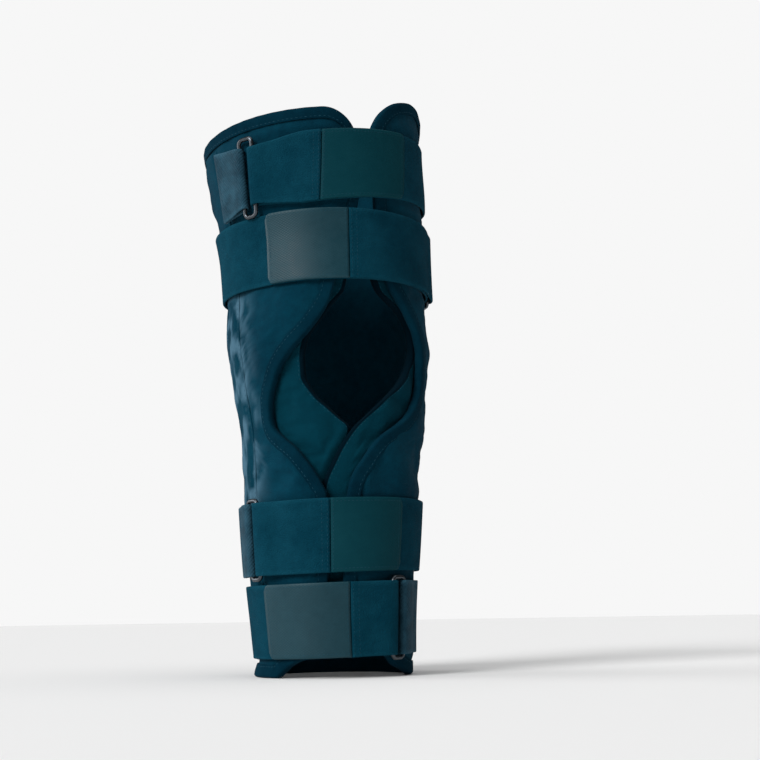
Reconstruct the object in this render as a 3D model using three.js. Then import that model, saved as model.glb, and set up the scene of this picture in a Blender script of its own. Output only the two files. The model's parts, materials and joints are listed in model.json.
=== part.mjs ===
// A knee immobilizer for a right leg, closed as it is worn: a padded wrap with a gap down the front and a
// window for the kneecap, two crescent pads that frame the window, a stay casing on each side, and four
// wide straps. Each strap runs from its sewn end across the front, through a wire ring on a folded tab,
// and back over itself to a hook tape end.
// Millimetres, +Z up, -Y the front of the knee, +X the inner side of the leg. It stands on its lower rim.
import * as THREE from "three";

// Overall form of the wrap
const braceHeight = 395.2; // lower rim to upper rim, at the front
const thighHalfWidth = 80.5; // outside of the wrap near the upper rim
const ankleHalfWidth = 53.2; // outside of the wrap at the lower rim
const thighLean = 18; // how far the upper rim stands out to the outer side of the leg
const rimRise = 7; // the upper rim is this much higher on the inner side, and lower on the outer
const rimFade = 0.3; // share of braceHeight over which the wrap's rows turn from level to the upper rim
const archFade = 0.2; // share of braceHeight over which the rows turn from the lower rim to level
const lobeDrop = 26; // how far the rounded front corners of the upper rim fall to the front gap
const lobeReach = 25; // their width along the rim
const lobeRise = 14.5; // the rim stands up this much on the inner side, beside its front corner
const lobeMiddle = 46; // degrees round from the front
const lobeHalf = 41; // degrees from its middle to where it meets the rim

// Cloth thicknesses and the running gap between sewn pieces
const panelThick = 4;
const padThick = 6.3;
const bindThick = 0.6;
const bindLeg = 8; // how far the edge tape reaches over the panel's faces
const mitreReach = 1.2; // stations nearer to a corner than this share of bindLeg would cross its mitre
const strapThick = 1.8;
const hookThick = 1.6;
const tabThick = 1.3;
const casingThick = 2.2;
const fitGap = 0.3;
const seamGap = 0.5; // between a strap's end and the hook tape sewn on there
const tapeGap = 0.6; // between the edge tape and the panel, which is bowed inside it
const bowGap = 0.5; // added where one wide flat facet lies over another round the same bow

// Straps, rings and casings
const strapWide = 50;
const ringWire = 3; // wire diameter
const ringPitch = 10; // between the middles of the ring's two long bars
const ringSpare = 0.6; // room between a strap's edge and the ring's short side
const ringCornerRadius = 3.2; // at the middle of the wire
const tabLong = 25; // from the ring's far bar to the tab's sewn end
const foldRun = 18; // length over which a folded layer comes down from the ring
const casingWide = 28;
const casingClear = 3; // from the rims' tapes to the casing's ends
const casingInset = 0.06; // share of braceHeight at each end that the casings' even rows leave out
const padTuck = 12; // how far a pad reaches under the wrap beside it
const lapRamp = 7; // length over which a pad thins where the other pad crosses it

// Cross sections of the wrap, from the lower rim up. at: share of braceHeight. wide: share of the way from
// ankleHalfWidth to thighHalfWidth. lean: share of thighLean. front and back: depth over half-width.
const sections = [
  { at: 0.0, wide: 0.0, lean: -0.07, front: 0.98, back: 1.0 },
  { at: 0.085, wide: 0.067, lean: 0.01, front: 0.98, back: 1.04 },
  { at: 0.186, wide: 0.19, lean: 0.08, front: 1.0, back: 1.08 },
  { at: 0.308, wide: 0.324, lean: 0.08, front: 1.0, back: 1.07 },
  { at: 0.42, wide: 0.429, lean: 0.07, front: 1.03, back: 1.0 },
  { at: 0.512, wide: 0.6, lean: 0.16, front: 1.05, back: 0.96 },
  { at: 0.613, wide: 0.724, lean: 0.24, front: 1.06, back: 0.95 },
  { at: 0.645, wide: 0.714, lean: 0.27, front: 1.06, back: 0.955 },
  { at: 0.685, wide: 0.69, lean: 0.31, front: 1.06, back: 0.965 },
  { at: 0.75, wide: 0.7, lean: 0.4, front: 1.055, back: 0.98 },
  { at: 0.837, wide: 0.83, lean: 0.57, front: 1.045, back: 0.99 },
  { at: 0.878, wide: 0.895, lean: 0.66, front: 1.04, back: 1.0 },
  { at: 1.0, wide: 1.029, lean: 0.93, front: 1.03, back: 1.01 },
  { at: 1.035, wide: 1.076, lean: 0.9, front: 1.03, back: 1.01 },
  { at: 1.058, wide: 1.076, lean: 0.9, front: 1.03, back: 1.01 },
];

// The wrap's two front edges, in degrees round from the front, positive towards the inner side. They leave
// a narrow gap above, open round the kneecap, and come close again below. at: share of braceHeight.
const frontEdges = [
  { at: 0.0, left: -24, right: -11 },
  { at: 0.018, left: -24, right: -11 },
  { at: 0.085, left: -24, right: -11.5 },
  { at: 0.186, left: -24, right: -12 },
  { at: 0.273, left: -23.5, right: -11 },
  { at: 0.306, left: -24, right: -9.5 },
  { at: 0.329, left: -27.5, right: -8 },
  { at: 0.349, left: -32, right: -5 },
  { at: 0.369, left: -37.5, right: 0 },
  { at: 0.39, left: -44, right: 5 },
  { at: 0.412, left: -53.5, right: 12.5 },
  { at: 0.424, left: -58, right: 19 },
  { at: 0.437, left: -60.5, right: 26.5 },
  { at: 0.452, left: -61, right: 33.8 },
  { at: 0.469, left: -60.5, right: 40 },
  { at: 0.504, left: -56, right: 47 },
  { at: 0.537, left: -50, right: 48.5 },
  { at: 0.568, left: -41, right: 47.5 },
  { at: 0.593, left: -32.5, right: 44 },
  { at: 0.622, left: -25, right: 36.5 },
  { at: 0.649, left: -20, right: 28.5 },
  { at: 0.683, left: -16.5, right: 19.5 },
  { at: 0.746, left: -9, right: 14 },
  { at: 0.79, left: -5, right: 13 },
  { at: 0.837, left: -1.5, right: 12 },
  { at: 0.924, left: 2.5, right: 12 },
  { at: 0.959, left: 3, right: 12 },
  { at: 0.984, left: 3, right: 12 },
  { at: 1.0, left: 3, right: 12 },
];

// How far the lower rim is cut up over the instep, in millimetres. at: degrees round from the front.
const instepArch = [
  { at: -68, up: 0 },
  { at: -62, up: 4.2 },
  { at: -54, up: 8.8 },
  { at: -42, up: 12.4 },
  { at: -30, up: 13 },
  { at: -9, up: 13.2 },
  { at: 13, up: 14.7 },
  { at: 20, up: 13.9 },
  { at: 28, up: 7.6 },
  { at: 38, up: 4.6 },
  { at: 47, up: 1.8 },
  { at: 56, up: 0 },
];

// The edge of each pad that shows in the window, in degrees round from the front. at: share of braceHeight.
// lap: 1 where the inner pad crosses over the outer one, and each is half as thick.
const outerPadEdge = [
  { at: 0.313, edge: -18, lap: 1 },
  { at: 0.339, edge: -15, lap: 1 },
  { at: 0.364, edge: -11, lap: 1 },
  { at: 0.39, edge: -7.5, lap: 1 },
  { at: 0.427, edge: -7, lap: 1 },
  { at: 0.444, edge: -14.5, lap: 0 },
  { at: 0.461, edge: -21.5, lap: 0 },
  { at: 0.486, edge: -30.6, lap: 0 },
  { at: 0.522, edge: -36.6, lap: 0 },
  { at: 0.552, edge: -36.5, lap: 0 },
  { at: 0.585, edge: -33.3, lap: 0 },
  { at: 0.613, edge: -26, lap: 0 },
  { at: 0.642, edge: -17.6, lap: 0 },
  { at: 0.674, edge: -9, lap: 0 },
  { at: 0.741, edge: -4.5, lap: 0 },
];
const innerPadEdge = [
  { at: 0.045, edge: -34, lap: 0 },
  { at: 0.115, edge: -34, lap: 0 },
  { at: 0.207, edge: -34, lap: 0 },
  { at: 0.298, edge: -29.5, lap: 1 },
  { at: 0.339, edge: -25.5, lap: 1 },
  { at: 0.364, edge: -21, lap: 1 },
  { at: 0.39, edge: -16.2, lap: 1 },
  { at: 0.41, edge: -11.5, lap: 1 },
  { at: 0.427, edge: -6.7, lap: 1 },
  { at: 0.452, edge: 4, lap: 0 },
  { at: 0.478, edge: 15.7, lap: 0 },
  { at: 0.517, edge: 33, lap: 0 },
  { at: 0.554, edge: 44, lap: 0 },
  { at: 0.59, edge: 48, lap: 0 },
  { at: 0.619, edge: 43.5, lap: 0 },
  { at: 0.642, edge: 32.5, lap: 0 },
  { at: 0.674, edge: 13.2, lap: 0 },
  { at: 0.741, edge: 4.5, lap: 0 },
];

// Straps, from the top. at: height of the middle at the front, share of braceHeight. rise: how much higher
// the inner side is. bow: how much both sides curve up. The rest are degrees round from the front: skew is
// how far the upper edge is turned past the lower one at the front, less towards the sides. Then come the
// sewn end, the ring's near bar, the seam where the hook tape starts, and the free end.
const straps = [
  { name: "thigh_upper", at: 0.893, rise: 11, bow: 5, skew: 5, sewn: 150, ring: -52.5, seam: -18, free: 30 },
  { name: "thigh_lower", at: 0.748, rise: 3.5, bow: 2, skew: 2, sewn: -150, ring: 80, seam: -7, free: -51 },
  { name: "calf_upper", at: 0.242, rise: 2, bow: 0, skew: 0, sewn: 150, ring: -70, seam: -21.5, free: 27 },
  { name: "calf_lower", at: 0.099, rise: 1.5, bow: 0, skew: 0, sewn: -150, ring: 21, seam: -9, free: -69 },
];

// Fineness of the solids
const backStep = 12; // degrees between columns round the back and sides
const frontStep = 6; // degrees between stations where a strap crosses the front
const fixedFrom = 62; // the wrap's even columns run round the back from this angle on the inner side
const fixedTo = 290; // to this one, which is the outer side
const frontShares = [0, 0.04, 0.1, 0.19, 0.31, 0.46, 0.64, 0.82, 1]; // columns from a front edge to those
const foldStations = 6; // round a ring's bar
const ringSides = 6;
const padColumns = 4; // from where a pad has its full thickness to its tucked edge

const degree = Math.PI / 180;
const bindProud = tapeGap + bindThick;
const strapBase = bindProud + fitGap; // a strap's inner face over the panel's outer face
const casingBase = fitGap + casingThick + fitGap + bowGap; // the same over a stay casing
const padFace = -(panelThick + bindProud + fitGap + bowGap); // a pad's outer face
const lapGap = fitGap + bowGap;
const lapFace = padFace - (padThick + lapGap) / 2; // where it lies under the other pad

const navy = { color: 0x0b3a4c, roughness: 0.82, metalness: 0 };
const finishes = {
  wrap: new THREE.MeshStandardMaterial(navy),
  pad: new THREE.MeshStandardMaterial({ ...navy, color: 0x0a3646, roughness: 0.88 }),
  binding: new THREE.MeshStandardMaterial({ ...navy, color: 0x06222e, roughness: 0.6 }),
  strap: new THREE.MeshStandardMaterial({ ...navy, color: 0x0a4150, roughness: 0.9 }),
  hook: new THREE.MeshStandardMaterial({ ...navy, color: 0x2f4c5c, roughness: 0.6 }),
  ring: new THREE.MeshStandardMaterial({ color: 0xc3c7ca, roughness: 0.25, metalness: 1 }),
};

const clamp01 = (t) => Math.min(1, Math.max(0, t));
const ease = (t) => clamp01(t) ** 2 * (3 - 2 * clamp01(t));
const mix = (a, b, t) => a + (b - a) * t;

// A column of a table read at a height share, on a smooth curve through the rows that never overshoots them.
function read(table, column, at) {
  const last = table.length - 1;
  if (at <= table[0].at) return table[0][column];
  if (at >= table[last].at) return table[last][column];
  const i = table.findIndex((row) => row.at > at) - 1;
  const slope = (k) => (table[k + 1][column] - table[k][column]) / (table[k + 1].at - table[k].at);
  const tangent = (k) => {
    if (k === 0 || k === last) return slope(Math.min(k, last - 1));
    const [before, after] = [slope(k - 1), slope(k)];
    return before * after <= 0 ? 0 : (2 * before * after) / (before + after);
  };
  const span = table[i + 1].at - table[i].at;
  const t = (at - table[i].at) / span;
  const [p0, p1] = [table[i][column], table[i + 1][column]];
  const [m0, m1] = [tangent(i) * span, tangent(i + 1) * span];
  const [t2, t3] = [t * t, t * t * t];
  return (2 * t3 - 3 * t2 + 1) * p0 + (t3 - 2 * t2 + t) * m0 + (-2 * t3 + 3 * t2) * p1 + (t3 - t2) * m1;
}

const halfWidth = (z) => mix(ankleHalfWidth, thighHalfWidth, read(sections, "wide", z / braceHeight));

// A point on the wrap's outer face, or off it by a distance along the level normal.
function place(angle, z, off) {
  const wide = halfWidth(z);
  const turn = angle * degree;
  const deep = wide * read(sections, Math.cos(turn) > 0 ? "front" : "back", z / braceHeight);
  const normal = new THREE.Vector2(deep * Math.sin(turn), -wide * Math.cos(turn)).normalize();
  return new THREE.Vector3(
    -thighLean * read(sections, "lean", z / braceHeight) + wide * Math.sin(turn) + normal.x * off,
    -deep * Math.cos(turn) + normal.y * off,
    z,
  );
}

// Closed solid from triangles, turned so that its faces point out.
function solid(points, triangles) {
  const geometry = new THREE.BufferGeometry().setFromPoints(points);
  let volume = 0;
  for (const [a, b, c] of triangles) {
    volume += points[a].dot(new THREE.Vector3().crossVectors(points[b], points[c]));
  }
  geometry.setIndex(triangles.flatMap(([a, b, c]) => (volume < 0 ? [a, c, b] : [a, b, c])));
  geometry.computeVertexNormals();
  return geometry;
}

// A sheet of cloth with thickness: two equal grids of points, its two faces, joined round the border.
function sheet(outer, inner) {
  const [rows, columns] = [outer.length, outer[0].length];
  const points = [...outer.flat(), ...inner.flat()];
  const on = (face, i, j) => face * rows * columns + i * columns + j;
  const triangles = [];
  const quad = (a, b, c, d) => triangles.push([a, b, c], [a, c, d]);
  for (let i = 0; i < rows - 1; i++) {
    for (let j = 0; j < columns - 1; j++) {
      quad(on(0, i, j), on(0, i, j + 1), on(0, i + 1, j + 1), on(0, i + 1, j));
      quad(on(1, i, j), on(1, i + 1, j), on(1, i + 1, j + 1), on(1, i, j + 1));
    }
    quad(on(0, i, 0), on(0, i + 1, 0), on(1, i + 1, 0), on(1, i, 0));
    quad(on(0, i + 1, columns - 1), on(0, i, columns - 1), on(1, i, columns - 1), on(1, i + 1, columns - 1));
  }
  for (let j = 0; j < columns - 1; j++) {
    quad(on(0, 0, j + 1), on(0, 0, j), on(1, 0, j), on(1, 0, j + 1));
    quad(on(0, rows - 1, j), on(0, rows - 1, j + 1), on(1, rows - 1, j + 1), on(1, rows - 1, j));
  }
  return solid(points, triangles);
}

// A closed loop of equal rings of points, such as a bent wire.
function loop(rings) {
  const sides = rings[0].length;
  const triangles = [];
  rings.forEach((_, i) => {
    const next = (i + 1) % rings.length;
    for (let j = 0; j < sides; j++) {
      const beside = (j + 1) % sides;
      triangles.push([i * sides + j, i * sides + beside, next * sides + beside]);
      triangles.push([i * sides + j, next * sides + beside, next * sides + j]);
    }
  });
  return solid(rings.flat(), triangles);
}

function mesh(name, geometry, material) {
  const made = new THREE.Mesh(geometry, material);
  made.name = name;
  return made;
}

// How far the wrap's rims move from level: the lean of the upper rim with its rounded front corners, and
// the arch in the lower one.
function upperRim(angle, reach) {
  const round = 1 - Math.sqrt(1 - (1 - clamp01(reach / lobeReach)) ** 2);
  const lobe = lobeRise * ease(1 - Math.abs(angle - lobeMiddle) / lobeHalf);
  return rimRise * Math.sin(angle * degree) + lobe - lobeDrop * round;
}
const lowerRim = (angle) => read(instepArch, "up", angle);

// Height of the wrap's row at a share of its height, which follows the rims near them. reach: distance from
// the nearest front edge.
function rowHeight(at, angle, reach) {
  const up = ease((at - 1 + rimFade) / rimFade) * upperRim(angle, reach);
  const down = (1 - ease(at / archFade)) * lowerRim(angle);
  return bindProud + at * (braceHeight - 2 * bindProud) + up + down;
}

// The even columns round the back, from the inner side to the outer one.
const evenColumns = [];
for (let angle = fixedFrom + backStep; angle < fixedTo; angle += backStep) evenColumns.push(angle);

// The wrap as a grid of {angle, z}: a row for each height of the front edges' table, and columns from the
// inner front edge round the back to the outer one.
function wrapGrid() {
  return frontEdges.map((row) => {
    const [first, last] = [row.right, 360 + row.left];
    const angles = [
      ...frontShares.map((share) => mix(first, fixedFrom, share)),
      ...evenColumns,
      ...frontShares.map((share) => mix(last, fixedTo, share)).reverse(),
    ];
    return angles.map((angle) => {
      const reach = Math.min(angle - first, last - angle) * degree * halfWidth(row.at * braceHeight);
      return { angle, z: rowHeight(row.at, angle > 180 ? angle - 360 : angle, reach) };
    });
  });
}

function wrapPanel(grid) {
  const face = (off) => grid.map((row) => row.map((p) => place(p.angle, p.z, off)));
  return mesh("wrap_panel", sheet(face(0), face(-panelThick)), finishes.wrap);
}

// Edge tape: a folded strip over the panel's edge along a run of its border. Each station of the run has
// the border point and the direction out of the panel, as {angle, z, out: millimetres round and up}.
function edgeTape(name, run) {
  const faces = [bindProud, -(panelThick + bindProud)];
  const lined = [tapeGap, -(panelThick + tapeGap)];
  const at = (p, reach, off) => {
    const round = (p.out.x * reach) / (halfWidth(p.z) * degree);
    return place(p.angle + round, p.z + p.out.y * reach, off);
  };
  const outer = run.map((p) => [
    at(p, -bindLeg, faces[0]),
    at(p, bindProud, faces[0]),
    at(p, bindProud, faces[1]),
    at(p, -bindLeg, faces[1]),
  ]);
  const inner = run.map((p) => [
    at(p, -bindLeg, lined[0]),
    at(p, tapeGap, lined[0]),
    at(p, tapeGap, lined[1]),
    at(p, -bindLeg, lined[1]),
  ]);
  return mesh(name, sheet(outer, inner), finishes.binding);
}

// The wrap's border as a closed run: down the inner front edge, round the lower rim, up the outer front
// edge and back round the upper rim.
function border(grid) {
  const [top, side] = [grid.length - 1, grid[0].length - 1];
  const run = [
    ...grid.map((row) => row[0]).reverse(),
    ...grid[0].slice(1),
    ...grid.slice(1).map((row) => row[side]),
    ...grid[top].slice(1, side).reverse(),
  ];
  const flat = run.map((p) => new THREE.Vector2(p.angle * degree * halfWidth(p.z), p.z));
  return run.map((p, i) => {
    const [before, here, after] = [-1, 0, 1].map((k) => flat[(i + k + run.length) % run.length]);
    const [a, b] = [here.clone().sub(before).normalize(), after.clone().sub(here).normalize()];
    const mitre = 1 / Math.max(0.6, Math.cos(a.angleTo(b) / 2));
    const along = a.add(b).normalize();
    return { ...p, out: new THREE.Vector2(along.y, -along.x).multiplyScalar(mitre) };
  });
}

// Draws the two ends of a run in, so that it keeps its gap to the next run.
function drawnIn(run) {
  const between = (p, q) => {
    const share = (1.5 * fitGap) / Math.hypot((p.angle - q.angle) * degree * halfWidth(p.z), p.z - q.z);
    return { angle: mix(p.angle, q.angle, share), z: mix(p.z, q.z, share), out: p.out };
  };
  const last = run.length - 1;
  return [between(run[0], run[1]), ...run.slice(1, last), between(run[last], run[last - 1])];
}

// A run without the stations that lie inside the mitres at its two ends.
function mitred(run) {
  const [first, last] = [run[0], run[run.length - 1]];
  const apart = (p, q) => Math.hypot((p.angle - q.angle) * degree * halfWidth(p.z), p.z - q.z);
  const far = (p, q) => apart(p, q) > mitreReach * bindLeg;
  return [first, ...run.slice(1, -1).filter((p) => far(p, first) && far(p, last)), last];
}

function edgeTapes(grid) {
  const run = border(grid);
  const [rows, columns] = [grid.length, grid[0].length];
  const foot = mitred(run.slice(rows - 1, rows - 1 + columns));
  const rest = mitred([...run.slice(rows + columns - 2), ...run.slice(0, rows)]);
  return [edgeTape("hem_tape", drawnIn(foot)), edgeTape("edge_tape", drawnIn(rest))];
}

// Height of a strap's middle at an angle.
const strapHeight = (strap, angle) =>
  strap.at * braceHeight + strap.rise * Math.sin(angle * degree) + strap.bow * (1 - Math.cos(angle * degree));

// What a strap or tab lies on, over the panel's face: it climbs over the stay casings at the sides.
function bedOff(angle) {
  const fromSide = Math.abs(Math.abs(angle) - 90) * degree * halfWidth(braceHeight / 2);
  const climb = 1 - ease((fromSide - casingWide / 2 - 1) / casingWide);
  return strapBase + climb * Math.max(0, casingBase - strapBase);
}

// The three points across a strap at an angle. They lie in line at its ring, and follow the wrap elsewhere.
function across(strap, angle, off) {
  const height = strapHeight(strap, angle);
  const turned = strap.skew * Math.sqrt(Math.max(0, Math.cos(angle * degree)));
  const at = (share) => place(angle + share * turned, height + share * strapWide, off);
  const girth = halfWidth(strap.at * braceHeight) * degree;
  const gone = Math.min(Math.abs(angle - strap.ring), Math.abs(angle - farBar(strap))) * girth;
  const [low, high] = [at(-0.5), at(0.5)];
  const straight = low.clone().add(high).multiplyScalar(0.5);
  return [low, straight.lerp(at(0), ease((gone - 2 * ringWire) / foldRun)), high];
}

// A folded band that follows a path of {angle, off} at its middle, as wide as a strap.
function band(strap, path, thick) {
  const girth = halfWidth(strap.at * braceHeight) * degree;
  const flat = path.map((p) => new THREE.Vector2(p.angle * girth, p.off));
  const faces = [1, -1].map((side) =>
    flat.map((here, i) => {
      const along = flat[Math.min(i + 1, flat.length - 1)].clone().sub(flat[Math.max(i - 1, 0)]).normalize();
      const angle = (here.x - (side * thick * along.y) / 2) / girth;
      return across(strap, angle, here.y + (side * thick * along.x) / 2);
    }),
  );
  return sheet(...faces);
}

// The angles from one to another, on the wrap's columns round the back and finer across the front.
function steps(from, to) {
  const found = [];
  for (let angle = fixedFrom - 30 * backStep; angle <= fixedTo; angle += frontStep) {
    const even = Math.abs(((angle - fixedFrom) / backStep) % 1) < 0.01;
    const inside = angle > Math.min(from, to) + 2 && angle < Math.max(from, to) - 2;
    if (inside && (even || Math.abs(angle) < fixedFrom)) found.push(angle);
  }
  return [from, ...(from < to ? found : found.reverse()), to];
}

// The half turn round a ring's bar, from under it to over it, on the side away from the front.
function barTurn(strap, barAngle, thick, away) {
  const girth = halfWidth(strap.at * braceHeight) * degree;
  const reach = ringWire / 2 + fitGap + thick / 2;
  return Array.from({ length: foldStations + 1 }, (_, k) => {
    const turn = (k / foldStations) * Math.PI;
    return {
      angle: barAngle + (away * reach * Math.sin(turn)) / girth,
      off: barOff(strap) - reach * Math.cos(turn),
    };
  });
}

const barOff = (strap) => bedOff(strap.ring) + strapThick + fitGap + ringWire / 2;
const farBar = (strap) =>
  strap.ring + (Math.sign(strap.ring) * ringPitch) / (halfWidth(strap.at * braceHeight) * degree);

// Middle of a layer that leaves a ring's bar at one height and settles on its bed over foldRun.
function settled(strap, angle, barAngle, high, low) {
  const gone = Math.abs(angle - barAngle) * degree * halfWidth(strap.at * braceHeight);
  return mix(high, low, ease(gone / foldRun));
}

function strapBand(strap) {
  const away = Math.sign(strap.ring);
  const over = barOff(strap) + ringWire / 2 + fitGap + strapThick / 2;
  const base = steps(strap.sewn, strap.ring).slice(0, -1);
  const back = steps(strap.ring, strap.seam).slice(1);
  const path = [
    ...base.map((angle) => ({
      angle,
      off: settled(strap, angle, strap.ring, bedOff(strap.ring), bedOff(angle)) + strapThick / 2,
    })),
    ...barTurn(strap, strap.ring, strapThick, away),
    ...back.map((angle) => ({
      angle,
      off: settled(strap, angle, strap.ring, over, bedOff(angle) + 1.5 * strapThick + fitGap),
    })),
  ];
  return mesh(`strap_${strap.name}`, band(strap, path, strapThick), finishes.strap);
}

function hookEnd(strap) {
  const girth = halfWidth(strap.at * braceHeight) * degree;
  const start = strap.seam + (Math.sign(strap.free - strap.seam) * seamGap) / girth;
  const path = steps(start, strap.free).map((angle) => ({
    angle,
    off: bedOff(angle) + strapThick + fitGap + hookThick / 2,
  }));
  return mesh(`hook_end_${strap.name}`, band(strap, path, hookThick), finishes.hook);
}

function ringTab(strap) {
  const away = Math.sign(strap.ring);
  const bar = farBar(strap);
  const end = bar + (away * tabLong) / (halfWidth(strap.at * braceHeight) * degree);
  const turn = barTurn(strap, bar, tabThick, -away);
  const under = steps(end, bar).slice(0, -1);
  const over = steps(bar, end).slice(1);
  const path = [
    ...under.map((angle) => ({
      angle,
      off: settled(strap, angle, bar, turn[0].off, bedOff(angle) + tabThick / 2),
    })),
    ...turn,
    ...over.map((angle) => ({
      angle,
      off: settled(strap, angle, bar, turn[foldStations].off, bedOff(angle) + 1.5 * tabThick + fitGap),
    })),
  ];
  return mesh(`ring_tab_${strap.name}`, band(strap, path, tabThick), finishes.strap);
}

// A rectangular ring of bent wire, its long bars up and down the leg.
function wireRing(strap) {
  const [near, far] = [strap.ring, farBar(strap)];
  const reach = (strapWide / 2 + ringSpare + ringWire / 2) / strapWide + 0.5;
  const [nearBar, farther] = [near, far].map((angle) => across(strap, angle, barOff(strap)));
  const end = ([low, , high], share) => low.clone().lerp(high, share);
  const corners = [
    end(nearBar, 1 - reach),
    end(farther, 1 - reach),
    end(farther, reach),
    end(nearBar, reach),
  ];
  const over = corners[1].clone().sub(corners[0]).normalize();
  const up = corners[3].clone().sub(corners[0]).normalize();
  const face = new THREE.Vector3().crossVectors(over, up).normalize();
  const cornerStations = 3;
  const path = corners.flatMap((here, i) => {
    const [before, after] = [corners[(i + 3) % 4], corners[(i + 1) % 4]];
    const [a, b] = [before.clone().sub(here).normalize(), after.clone().sub(here).normalize()];
    const middle = here.clone().addScaledVector(a, ringCornerRadius).addScaledVector(b, ringCornerRadius);
    return Array.from({ length: cornerStations }, (_, k) => {
      const turn = ((k + 0.5) / cornerStations) * 90 * degree;
      const out = b.clone().multiplyScalar(-Math.cos(turn)).addScaledVector(a, -Math.sin(turn));
      return { at: middle.clone().addScaledVector(out, ringCornerRadius), out };
    });
  });
  const rings = path.map(({ at, out }) =>
    Array.from({ length: ringSides }, (_, k) => {
      const turn = (k / ringSides) * 360 * degree;
      const spoke = out.clone().multiplyScalar(Math.cos(turn)).addScaledVector(face, Math.sin(turn));
      return at.clone().addScaledVector(spoke, ringWire / 2);
    }),
  );
  return mesh(`ring_${strap.name}`, loop(rings), finishes.ring);
}

// A patch of cloth: rows of {z, angles}, and the offs of its two faces at each column and row.
function patch(rows, outerOff, innerOff) {
  const face = (off) => rows.map((row) => row.angles.map((angle, k) => place(angle, row.z, off(row, k))));
  return sheet(face(outerOff), face(innerOff));
}

const wrapEdge = (side, at) => read(frontEdges, side, at);

// The rows of a pad. Its columns run from the edge that shows, across the lap, up the ramp to the full
// thickness, and on to the edge that is tucked under the wrap. way: 1 if that is towards the inner side.
function padRows(table, other, side, way) {
  return table.map((row) => {
    const girth = halfWidth(row.at * braceHeight) * degree;
    const lapEnd = read(other, "edge", row.at) + (way * fitGap) / girth;
    const tucked = wrapEdge(side, row.at) + (way * padTuck) / girth;
    const ramp = Math.min(lapRamp / girth, (way * (tucked - row.edge)) / 3);
    const thin = way * Math.max(way * row.edge + ramp / 2, row.lap ? way * lapEnd : -Infinity);
    const full = thin + way * ramp;
    const rest = Array.from({ length: padColumns }, (_, k) => mix(full, tucked, (k + 1) / padColumns));
    return { z: row.at * braceHeight, lap: row.lap, angles: [row.edge, thin, full, ...rest] };
  });
}

// The pad on the outer side, whose end lies under the inner pad.
function outerPad() {
  const rows = padRows(outerPadEdge, innerPadEdge, "left", -1);
  const outerFace = (row, k) => (row.lap && k < 2 ? lapFace : padFace);
  return mesh("kneecap_pad_outer", patch(rows, outerFace, () => padFace - padThick), finishes.pad);
}

// The pad on the inner side, which runs on down under the front gap and lies over the outer pad's end.
function innerPad() {
  const rows = padRows(innerPadEdge, outerPadEdge, "right", 1);
  const innerFace = (row, k) => (row.lap && k < 2 ? lapFace + lapGap : padFace - padThick);
  return mesh("kneecap_pad_inner", patch(rows, () => padFace, innerFace), finishes.pad);
}

// A stay casing: a flat sleeve sewn up one side of the wrap, between the two rims' tapes. It lies on the
// wrap's own rows and columns.
function stayCasing(name, side) {
  const middle = side > 0 ? 90 : 270;
  const half = (z) => casingWide / 2 / (halfWidth(z) * degree);
  const between = evenColumns.filter((angle) => Math.abs(angle - middle) < half(braceHeight));
  const shown = frontEdges.filter(({ at }) => at > casingInset && at < 1 - casingInset).map(({ at }) => at);
  const clear = (bindLeg + casingClear) / braceHeight;
  const rows = [clear, ...shown, 1 - clear].map((at) => {
    const z = rowHeight(at, side * 90, lobeReach);
    return { z, angles: [middle - half(z), ...between, middle + half(z)] };
  });
  return mesh(name, patch(rows, () => fitGap + casingThick, () => fitGap), finishes.wrap);
}

const brace = new THREE.Group();
const grid = wrapGrid();
brace.add(wrapPanel(grid), ...edgeTapes(grid), outerPad(), innerPad());
brace.add(stayCasing("stay_casing_outer", -1), stayCasing("stay_casing_inner", 1));
for (const strap of straps) {
  brace.add(strapBand(strap), hookEnd(strap), ringTab(strap), wireRing(strap));
}

// The origin is the middle of the brace's box, on the surface that it stands on.
const middle = new THREE.Box3().setFromObject(brace).getCenter(new THREE.Vector3());
brace.position.set(-middle.x, -middle.y, 0);

export default brace;
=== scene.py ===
# %% [markdown]
# # A knee immobilizer
# A knee immobilizer keeps a leg straight after an injury. It is a sheet of foam faced with brushed nylon,
# bound with tape and wrapped round the leg, with flat stays sewn up its sides, a window for the kneecap, and
# wide straps that fold back through wire rings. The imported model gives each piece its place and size. Here
# every piece of cloth is made again, finely, on the same surface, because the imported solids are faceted.

import json
import math

import bpy
import numpy as np
from mathutils import Matrix, Vector, noise
from mathutils.bvhtree import BVHTree

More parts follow.
